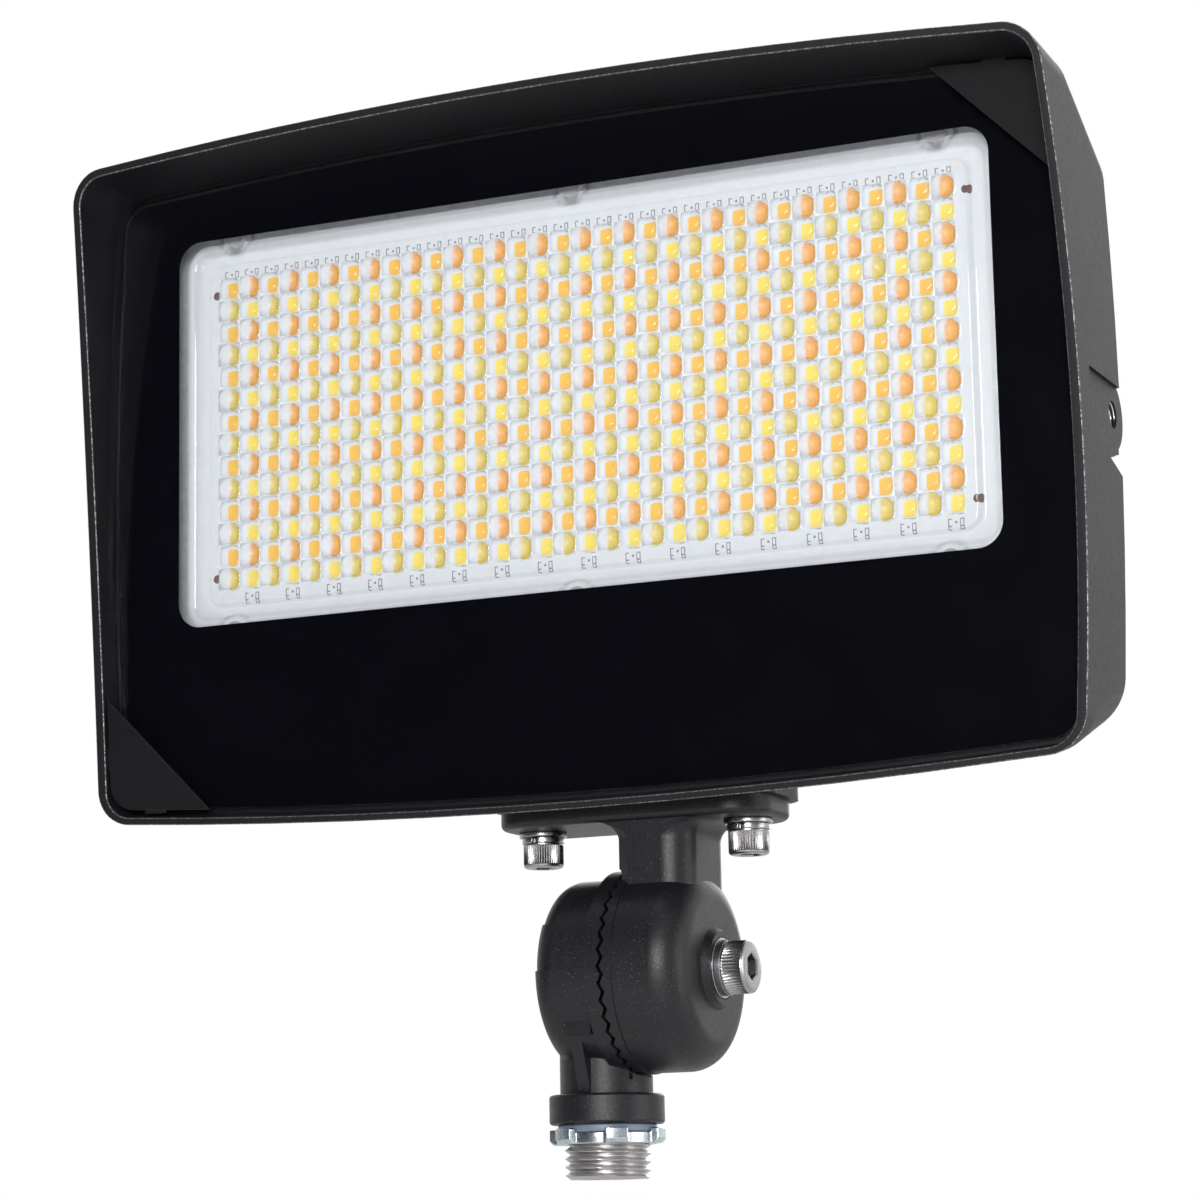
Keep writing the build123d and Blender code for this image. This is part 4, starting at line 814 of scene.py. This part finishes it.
@dataclass
class LampEngine:
    """Packages and printed marks on the board under the clear lens plate."""

    mesher: Mesher
    columns: int = 34
    rows: int = 14
    pitch: float = 6.0 * MM
    centre_z: float = 182.3 * MM
    sharp: Pair = (2.7 * MM, 3.7 * MM)     # phosphor under a flat cell
    round: Pair = (2.5 * MM, 4.5 * MM)     # phosphor under a dome
    body: Pair = (3.2 * MM, 4.8 * MM)      # white body round the phosphor
    phosphor_t: float = 0.05 * MM
    front_y: float = -9.4 * MM
    board_y: float = -8.7 * MM
    sink: float = 0.06 * MM      # how far the lens plate's edge goes into the board
    cell_lines: tuple[float, ...] = (-1.0, -0.9, -0.8, -0.42, 0.0, 0.42, 0.8, 0.9)   # in half pitches
    plateau_y: float = -12.6 * MM
    flange_y: float = -10.7 * MM
    plateau: Pair = (105.3 * MM, 45.8 * MM)
    plateau_corner: float = 4.0 * MM
    window: Pair = (112.0 * MM, 51.7 * MM)
    window_corner: float = 6.5 * MM
    foot_height: float = 0.5 * MM
    dome_rise: float = 1.5 * MM
    table_height: float = 0.8 * MM
    rim_width: float = 3.6 * MM
    rim_height: float = 1.6 * MM
    # Painted shade across the rim: its share at each depth from the window's edge.
    rim_depths: tuple[float, ...] = (-9, 0, 0.45, 1.2, 1.5, 2.0, 2.3, 2.9, 3.6)   # in mm
    rim_painted_shade: tuple[float, ...] = (0.7, 0.7, 0.45, 0.32, 0.0, 0.02, 0.30, 0.18, 0.07)
    step_width: float = 0.9 * MM     # of the plateau's edge
    screws: Pair = (97.5 * MM, 53.0 * MM)
    well_radius: float = 4.6 * MM    # a ring of painted shade round a screw
    # inside this the rim's painted shade is lighter
    well_floor: float = 4.2 * MM
    dowels: Pair = (104.0 * MM, 38.2 * MM)
    dowel_radius: float = 1.15 * MM
    mark_t: float = 0.04 * MM
    mark_shift: float = 0.6 * MM     # how far left of its package a part's marks are
    mark_gap: float = 4.5 * MM       # from the outer rows of packages to the marks
    dash_parts: Rows = ((0.15, 2.62, 1.9, 0.16), (0.55, -2.62, 1.3, 0.10))   # x, z and size in mm
    mark_parts: Rows = (
        (-1.9, 0, 0.24, 1.8), (-1.5, 0.8, 0.8, 0.24), (-1.5, -0.8, 0.8, 0.24),
        (1.9, 0, 0.24, 1.8), (1.5, 0.8, 0.8, 0.24), (1.5, -0.8, 0.8, 0.24),
        (1.05, 0, 0.2, 1.8), (0.0, 0, 0.5, 0.6))

    def cells(self, warm: bool | None, dome: bool) -> Array:
        """Centres (x, z) of the packages of one colour, or of both, under one kind of lens."""
        row, column = np.meshgrid(np.arange(self.rows), np.arange(self.columns), indexing="ij")
        pick = ((row + column) % 2 == 1) == dome
        if warm is not None:
            pick &= (row % 2 == 0) == warm
        x = (column - (self.columns - 1) / 2) * self.pitch
        z = self.centre_z + ((self.rows - 1) / 2 - row) * self.pitch
        return np.stack([x[pick], z[pick]], axis=1)

    def outline(self, size: Pair, steps: int, power: float) -> Array:
        """Points round a rounded rectangle: |2x/w|^p + |2z/h|^p = 1."""
        angle = circle(steps)[0] + np.pi / steps
        c, s = np.cos(angle), np.sin(angle)
        radius = (np.abs(c) ** power + np.abs(s) ** power) ** (-1 / power)
        return np.stack([radius * c, radius * s], axis=1) * np.array(size) / 2

    def packages(self, name: str, warm: bool, dome: bool, finish: str) -> Piece:
        """Makes all packages of one colour and lens: a flat face with sloping sides."""
        size = self.round if dome else self.sharp
        outline = self.outline(size, 20, 3.0 if dome else 9.0)
        wide = outline * 1.01
        centres = self.cells(warm, dome)
        count, steps = len(centres), len(outline)
        layers = [(outline, self.front_y - self.phosphor_t), (wide, self.front_y + self.phosphor_t)]
        rings = [np.concatenate([(centres[:, None, :] + ring)[..., :1],
                                 np.full((count, steps, 1), y),
                                 (centres[:, None, :] + ring)[..., 1:]], axis=2) for ring, y in layers]
        points = np.concatenate(rings, axis=1).reshape(-1, 3)
        k = np.arange(steps)
        side = np.stack([steps + k, steps + (k + 1) % steps, (k + 1) % steps, k], axis=1)
        base = np.arange(count)[:, None] * 2 * steps
        sides = (base[..., None] + side[None]).reshape(-1, 4)
        faces = (base + k).tolist() + sides.tolist()
        piece = self.mesher.make(name, points, faces, Ride.HEAD, finish, smooth=False)
        local = np.concatenate([np.tile(ring / np.array(size) + 0.5, (count, 1, 1))
                                for ring, _ in layers], axis=1).reshape(-1, 2)
        layer = piece.data.uv_layers.new(name="package")
        corners = np.empty(len(piece.data.loops), dtype=np.int64)
        piece.data.loops.foreach_get("vertex_index", corners)
        layer.data.foreach_set("uv", local[corners].ravel())
        return piece

    def tiles(self, name: str, centres: Array, sizes: Array, height: float,
              finish: str) -> None:
        """Makes flat blocks on the board.

        Args:
            name: the piece's name.
            centres: N by 2 array of (x, z) in metres.
            sizes: N by 2 array of widths and heights in metres.
            height: how far they stand out of the board.
            finish: the name of their material.
        """
        corner = np.array([(-1, -1), (1, -1), (1, 1), (-1, 1)]) / 2
        flat = centres[:, None, :] + corner[None] * sizes[:, None, :]
        layers = [np.insert(flat, 1, y, axis=2) for y in (self.board_y - height, self.board_y)]
        points = np.concatenate(layers, axis=1).reshape(-1, 3)
        block = np.array([(0, 1, 2, 3), (4, 5, 1, 0), (5, 6, 2, 1), (6, 7, 3, 2), (7, 4, 0, 3),
                          (7, 6, 5, 4)])
        faces = (np.arange(len(centres))[:, None, None] * 8 + block[None]).reshape(-1, 4)
        piece = self.mesher.make(name, points, faces, Ride.HEAD, finish, smooth=False)

    def marks(self) -> None:
        """Makes the solder marks: a dash over each flat cell, and outlined parts beside the field."""
        flats = self.cells(None, False)
        dash = np.array(self.dash_parts) * MM
        dashes = np.concatenate([flats + part[:2] for part in dash])
        sizes = np.repeat(dash[:, 2:], len(flats), axis=0)
        self.tiles("dash_marks", dashes, sizes, self.mark_t, "mark_dark")
        x = (np.arange(self.columns) - (self.columns - 1) / 2) * self.pitch - self.mark_shift
        reach = (self.rows - 1) / 2 * self.pitch + self.mark_gap
        spots = np.concatenate([np.stack([across, np.full_like(across, self.centre_z + height)], axis=1)
                                for across, height in ((x, reach), (x[1::2], -reach))])
        parts = np.array(self.mark_parts) * MM
        centres = (spots[:, None, :] + parts[None, :, :2]).reshape(-1, 2)
        sizes = np.tile(parts[:, 2:], (len(spots), 1))
        self.tiles("part_marks", centres, sizes, self.mark_t, "mark_grey")
        bodies = np.concatenate([flats, self.cells(None, True)])
        self.tiles("package_bodies", bodies, np.tile(np.array(self.body), (len(bodies), 1)),
                   self.board_y - self.front_y, "board")

    def dowel_tips(self) -> None:
        """Makes the brownish tips in the dowel holes, each a shallow dome over the board."""
        rise = np.array([(0.25, 0.0), (0.25, 0.5), (0.15, 0.85), (0.0, 1.0), (-0.3, 1.0), (-0.3, 0.0)])
        radius = np.repeat(rise[:, 1:] * self.dowel_radius, 24, axis=1)
        flat = turned(rise[:, :1] * MM, radius, (0, 0, 0), "Z")
        tip = np.stack([flat[..., 0], -flat[..., 2], flat[..., 1]], axis=-1)
        tips = [tip + np.array((side * self.dowels[0], self.board_y,
                                self.centre_z + level * self.dowels[1]))
                for side in (-1, 1) for level in (-1, 1)]
        piece = self.mesher.shell("dowel_tips", tips, Ride.HEAD, "dowel")

    def inset(self, x: Array, z: Array, half: Pair, corner: float) -> Array:
        """Distance outside a rounded rectangle, negative inside it."""
        a = np.abs(x) - half[0] + corner
        b = np.abs(z - self.centre_z) - half[1] + corner
        outside = np.hypot(np.maximum(a, 0), np.maximum(b, 0))
        return outside + np.minimum(np.maximum(a, b), 0) - corner

    def lens_cells(self, x: Array, z: Array) -> tuple[Array, Array, Array]:
        """Height, painted shade and blur of the cells over the plateau.

        With p the distance from the cell's middle in half pitches, a dome is a short wall and a cap
        rise * (1 - p^2), and a flat cell is a rounded square table with sloping sides. Shade is painted
        along the walls and in the grooves, more at the left of a dome and over a table.

        Args:
            x: places across the field.
            z: places up the field.

        Returns:
            Arrays of heights in metres, of painted shade and of blur from 0 to 1.
        """
        column = np.round(x / self.pitch + (self.columns - 1) / 2)
        row = np.round((self.rows - 1) / 2 - (z - self.centre_z) / self.pitch)
        u = (x / self.pitch + (self.columns - 1) / 2 - column) * 2
        v = ((z - self.centre_z) / self.pitch - (self.rows - 1) / 2 + row) * 2
        soft = norm(u, v, 2.6)
        wall = np.clip((1.0 - soft) / 0.16, 0, 1)
        dome = self.foot_height * wall + self.dome_rise * np.clip(1 - soft ** 2, 0, 1)
        square = norm(u, v, 5)
        table = self.table_height * np.clip((0.9 - square) / 0.1, 0, 1)
        # painted shade: a ring at a dome's foot, its left side and the grooves; a table's edges, left
        # side and top
        ring = bell(soft, 0.93, 0.09)
        dome_painted_shade = 0.55 * ring + 0.35 * np.clip(-u - 0.2, 0, 1) + 0.4 * (soft > 1.0)
        left = bell(u, -0.80, 0.12) * (np.abs(v) < 0.85)
        over = bell(v, 0.90, 0.10) * (np.abs(u) < 0.85)
        table_painted_shade = 0.42 * bell(square, 0.86, 0.08) + 0.25 * left + 0.45 * over
        dome_blur = np.clip((1.05 - soft) / 0.2, 0, 1)
        table_blur = 0.8 * np.clip((square - 0.74) / 0.1, 0, 1)
        domed = (row + column) % 2 == 1
        inside = (column >= 0) & (column < self.columns) & (row >= 0) & (row < self.rows)
        pairs = ((dome, table), (dome_painted_shade, table_painted_shade), (dome_blur, table_blur))
        return tuple(np.where(inside, np.where(domed, *pair), 0.0) for pair in pairs)

    def border_painted_shade(self, x: Array, z: Array) -> Array:
        """Painted shade beside the field: across the rim by its depth, along the plateau's edge and
        round the screw wells.
        """
        depth = -self.inset(x, z, self.window, self.window_corner)
        rim = np.interp(depth, np.array(self.rim_depths) * MM, self.rim_painted_shade)
        edge = self.inset(x, z, self.plateau, self.plateau_corner)
        # painted shade: a grey line along the plateau's edge and a faint grey over the plateau
        painted_shade = rim + (0.34 * bell(edge, 0.0, 0.30 * MM) + 0.07 * (edge < 0))
        for side in (-1, 0, 1):
            for level in (-1, 1):
                away = np.hypot(x - side * self.screws[0], z - self.centre_z - level * self.screws[1])
                # painted shade: a dark ring round each screw, and less of the rim's shade inside it
                painted_shade = painted_shade + 0.42 * bell(away, self.well_radius, 0.55 * MM)
                painted_shade = painted_shade - 0.5 * rim * (away < self.well_floor)
        return np.clip(painted_shade, 0, 1)

    def lens_plate(self) -> None:
        """Makes the clear plate: heights y(x, z) on a grid, with the edge folded back to the board.

        The plateau falls to the flange over a smooth step, and a rounded rim stands just inside the
        window's edge: rim_height * sqrt(1 - (distance / half width)^2).
        """
        low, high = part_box("lens_plate")
        half_x, half_z = (high[0] - low[0]) / 2, (high[2] - low[2]) / 2
        field_x, field_z = self.columns * self.pitch / 2, self.rows * self.pitch / 2
        lines = []
        for count, field, half, middle in ((self.columns, field_x, half_x, 0.0),
                                           (self.rows, field_z, half_z, self.centre_z)):
            starts = (np.arange(count) + 0.5) * self.pitch - field
            inner = (starts[:, None] + np.array(self.cell_lines) * self.pitch / 2).ravel()
            outer = np.linspace(field, half, 31)
            lines.append(np.concatenate([-outer[:0:-1], inner, outer]) + middle)
        x, z = np.meshgrid(*lines, indexing="ij")
        edge = self.inset(x, z, self.plateau, self.plateau_corner)
        fall = np.clip(edge / self.step_width + 0.5, 0, 1)
        fall = fall * fall * (3 - 2 * fall)
        height, painted_shade, blurred = self.lens_cells(x, z)
        y = self.plateau_y + (self.flange_y - self.plateau_y) * fall - height
        across = (self.inset(x, z, self.window, self.window_corner) + self.rim_width * 0.45) / (
            self.rim_width / 2)
        y -= self.rim_height * np.sqrt(np.clip(1 - across ** 2, 0, 1))
        number = np.arange(x.size).reshape(x.shape)
        ring = np.concatenate([number[0, :-1], number[:-1, -1], number[-1, :0:-1], number[:0:-1, 0]])
        foot = x.size + np.arange(ring.size)
        points = np.stack([x, y, z], axis=-1).reshape(-1, 3)
        points = np.concatenate([points, points[ring]])
        points[foot, 1] = self.board_y + self.sink
        sides = np.stack([ring, np.roll(ring, -1), np.roll(foot, -1), foot], axis=1)
        faces = [*grid_faces(*x.shape, False), *sides, foot]
        piece = self.mesher.make("lens_plate_clear", points, faces, Ride.HEAD, "lens")
        # The painted shade of the cells, else of the border, goes on the mesh with the blur.
        painted_shade = np.where(painted_shade > 0, painted_shade, self.border_painted_shade(x, z))
        for name, values in (("painted_shade", painted_shade.ravel()), ("blurred", blurred.ravel())):
            layer = piece.data.attributes.new(name, "FLOAT", "POINT")
            layer.data.foreach_set("value", np.append(values, values[ring]).astype(np.float32))
        closed(opened(piece.data), piece.data, sharp=60.0)
        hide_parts("lens_plate")

    def build(self) -> None:
        """Makes the packages, the marks and the lens plate."""
        warm = self.packages("packages_warm_flat", True, False, "warm")
        cool = self.packages("packages_cool_flat", False, False, "cool")
        # Under the domes the packages take darker copies of the phosphors, painted shade.
        self.packages("packages_warm_domed", True, True, "warm_dome_shaded")
        self.packages("packages_cool_domed", False, True, "cool_dome_shaded")
        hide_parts("leds_warm")
        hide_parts("leds_cool")
        self.marks()
        self.dowel_tips()
        self.lens_plate()


@dataclass
class Studio:
    """Floor, lights, world and camera."""

    floor_z: float = -0.26
    floor_half: float = 4.0
    eye: Triple = (0.35290, -0.79337, -0.02846)
    right: Triple = (0.91241, 0.40882, -0.01914)
    up: Triple = (0.09087, -0.15676, 0.98345)
    focal_mm: float = 105.30
    sensor_mm: float = 36.0
    dark_side: Triple = (-0.40, -0.90, 0.20)   # the way to the dark wall that the glass mirrors
    dark_tone: Colour = (0.012, 0.012, 0.015)
    front_tone: Colour = (0.42, 0.43, 0.45)
    back_tone: Colour = (0.95, 0.95, 0.95)
    ambient: float = 0.3         # strength of the light from all round
    aim: Triple = (0.0, 0.0, 0.14)

    def camera(self) -> None:
        """Sets the camera at the photograph's viewpoint."""
        data = bpy.data.cameras.new("photo_camera")
        data.lens = self.focal_mm
        data.sensor_width = self.sensor_mm
        data.sensor_fit = "HORIZONTAL"
        camera = linked("photo_camera", data)
        right, up = Vector(self.right), Vector(self.up)
        back = right.cross(up)
        turn = Matrix((right, up, back)).transposed().to_4x4()
        camera.matrix_world = Matrix.Translation(self.eye) @ turn
        bpy.context.scene.camera = camera

    def lamp(self, name: str, place: Triple, size: Pair, watts: float) -> None:
        """Adds one soft rectangular lamp that looks at the light."""
        data = bpy.data.lights.new(name, "AREA")
        data.shape = "RECTANGLE"
        data.size, data.size_y = size
        data.energy = watts
        lamp = linked(name, data)
        lamp.location = place
        lamp.rotation_euler = (Vector(self.aim) - Vector(place)).to_track_quat("-Z", "Y").to_euler()

    def world(self) -> None:
        """White for the camera; reflections see a bright room with one dark wall before the glass."""
        world = bpy.data.worlds.new("studio")
        bpy.context.scene.world = world
        tree = Tree(world)
        seen = tree.add("LightPath", output="Is Camera Ray")
        mirrored = tree.add("LightPath", output="Is Glossy Ray")
        direction = tree.add("TexCoord", output="Generated")
        toward = tree.add("VectorMath", {0: direction, 1: self.dark_side}, "Value",
                          operation="DOT_PRODUCT")
        away = 1.0 - toward.step(0.55, 0.93)
        behind = tree.axis("Y", direction).step(-0.2, 0.5)
        room = tree.blend(behind, self.front_tone, self.back_tone)
        walls = tree.blend(away, self.dark_tone, room)
        white, ambient, mirror = (
            tree.add("Background", {"Color": rgba(colour), "Strength": strength})
            for colour, strength in ((WHITE, 1.0), (WHITE, self.ambient), (walls, 1.0)))
        soft = tree.mix(mirrored, ambient, mirror)
        tree.finish(tree.mix(seen, soft, white), "ShaderNodeOutputWorld")

    def floor(self) -> None:
        """Plain pale floor, well below the nipple, as the light stands on a post."""
        half = self.floor_half
        corners = ((-half, -half), (half, -half), (half, half), (-half, half))
        mesh = bpy.data.meshes.new("floor")
        mesh.from_pydata([(*corner, self.floor_z) for corner in corners], [], [(0, 1, 2, 3)])
        floor = linked("floor", mesh)
        material = bpy.data.materials.new("floor")
        tree = Tree(material)
        tone = tree.noise(3.0, 2.0) * 0.02 + 0.84
        grey = tree.add("CombineColor", dict.fromkeys(range(3), tone))
        tree.finish(tree.surface(Base_Color=grey, Roughness=0.7))
        mesh.materials.append(material)

    def build(self) -> None:
        """Sets the whole studio."""
        bpy.context.scene.view_settings.view_transform = "Standard"
        self.camera()
        self.world()
        self.floor()
        self.lamp("front", (0.46, -1.65, 0.36), (0.8, 0.6), 22.0)
        self.lamp("right_side", (1.5, 0.1, 0.1), (0.8, 1.0), 5.5)
        self.lamp("top", (-0.2, 0.1, 1.7), (1.0, 1.0), 7.0)
        self.lamp("back", (-0.3, 1.7, 0.7), (1.4, 1.0), 12.0)


def finishes() -> dict[str, bpy.types.Material]:
    """Builds every material once, by name."""
    coats = {
        "housing": PowderCoat("housing_coat", (0.0082, 0.0075, 0.0098)),
        "knuckle": PowderCoat("knuckle_coat", (0.0078, 0.0077, 0.0102), roughness=0.42,
                              sparkle=0.55, gloss=0.42, grain=1700.0, grain_depth=0.00006),
        # painted highlights along rounded edges: lighter tones than the coats they edge
        "housing_edge_highlight": PaintedEdgeHighlight("worn_housing_edge", (0.0082, 0.0075, 0.0098)),
        "knuckle_edge_highlight": PaintedEdgeHighlight("worn_knuckle_edge", (0.0078, 0.0076, 0.0100), least=0.1),
        "plate_edge_highlight": PowderCoat("corner_plate_painted_highlight", (0.020, 0.019, 0.022), roughness=0.4,
                                 gloss=0.4),
        "corner": PowderCoat("corner_coat", (0.0055, 0.0050, 0.0065), roughness=0.55, gloss=0.2),
        "stainless": Metal("stainless", (0.42, 0.41, 0.405), roughness=0.30, marks=0.6),
        "dark_steel": Metal("darkened_steel", (0.32, 0.32, 0.34), roughness=0.34),
        "lens_screw": Plastic("lens_screw_grey", (0.42, 0.42, 0.43), roughness=0.2),
        "zinc": Metal("zinc_plate", (0.62, 0.68, 0.70), mottle=0.35, tint=(0.42, 0.52, 0.62)),
        "thread": Metal("raw_aluminium", (0.54, 0.52, 0.52), roughness=0.37, mottle=0.12,
                        tint=(0.44, 0.39, 0.38), streak=(1.0, 1.0, 6.0), marks=0.4),
        "washer": Plastic("sealing_washer_blue", (0.16, 0.20, 0.27)),
        "rubber": Plastic("black_rubber", (0.018, 0.018, 0.019), roughness=0.6),
        "silicone": Plastic("grey_silicone", (0.33, 0.33, 0.34), roughness=0.6),
        "enamel": Plastic("black_enamel", (0.0024, 0.0024, 0.0044), roughness=0.2, scale=90.0,
                          gloss=0.15),
        "board": Plastic("white_board", (0.84, 0.855, 0.885), roughness=0.35, specks=0.02),
        "mark_dark": Plastic("dark_mark", (0.12, 0.12, 0.13)),
        "mark_grey": Plastic("grey_mark", (0.27, 0.27, 0.30)),
        "dowel": Plastic("brown_dowel", (0.20, 0.135, 0.12)),
        "hole_thread": Metal("cut_thread", (0.55, 0.55, 0.55)),
        "case": Plastic("driver_case", (0.40, 0.40, 0.41)),
        "green": Plastic("green_board", (0.03, 0.16, 0.07), roughness=0.35),
        "knob": Plastic("white_knob", (0.75, 0.75, 0.73)),
        "glass": Clear("clear_glass"),
        "lens": Moulding("clear_lens"),
        "warm": Phosphor("warm_phosphor", (1.0, 0.56, 0.10), (1.0, 0.62, 0.16)),
        "cool": Phosphor("cool_phosphor", (1.0, 0.76, 0.14), (1.0, 0.82, 0.26)),
        # The packages under domes take darker copies of the same phosphors, darker still at the edge:
        # painted shade of the domes.
        "warm_dome_shaded": Phosphor("warm_phosphor_dome_shade", (0.92, 0.45, 0.11), (0.82, 0.36, 0.10)),
        "cool_dome_shaded": Phosphor("cool_phosphor_dome_shade", (0.80, 0.61, 0.14), (0.66, 0.54, 0.20)),
    }
    return {name: finish.build() for name, finish in coats.items()}


def main() -> None:
    """Builds the object and the studio."""
    logging.basicConfig(level=logging.INFO, format="%(message)s")
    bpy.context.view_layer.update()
    mesher = Mesher(finishes())
    for unit in (Casings(mesher), SocketScrews(mesher), SideHoles(mesher), Nipple(mesher),
                 Window(mesher), LampEngine(mesher)):
        unit.build()
    Studio().build()


if __name__ == "__main__":
    main()
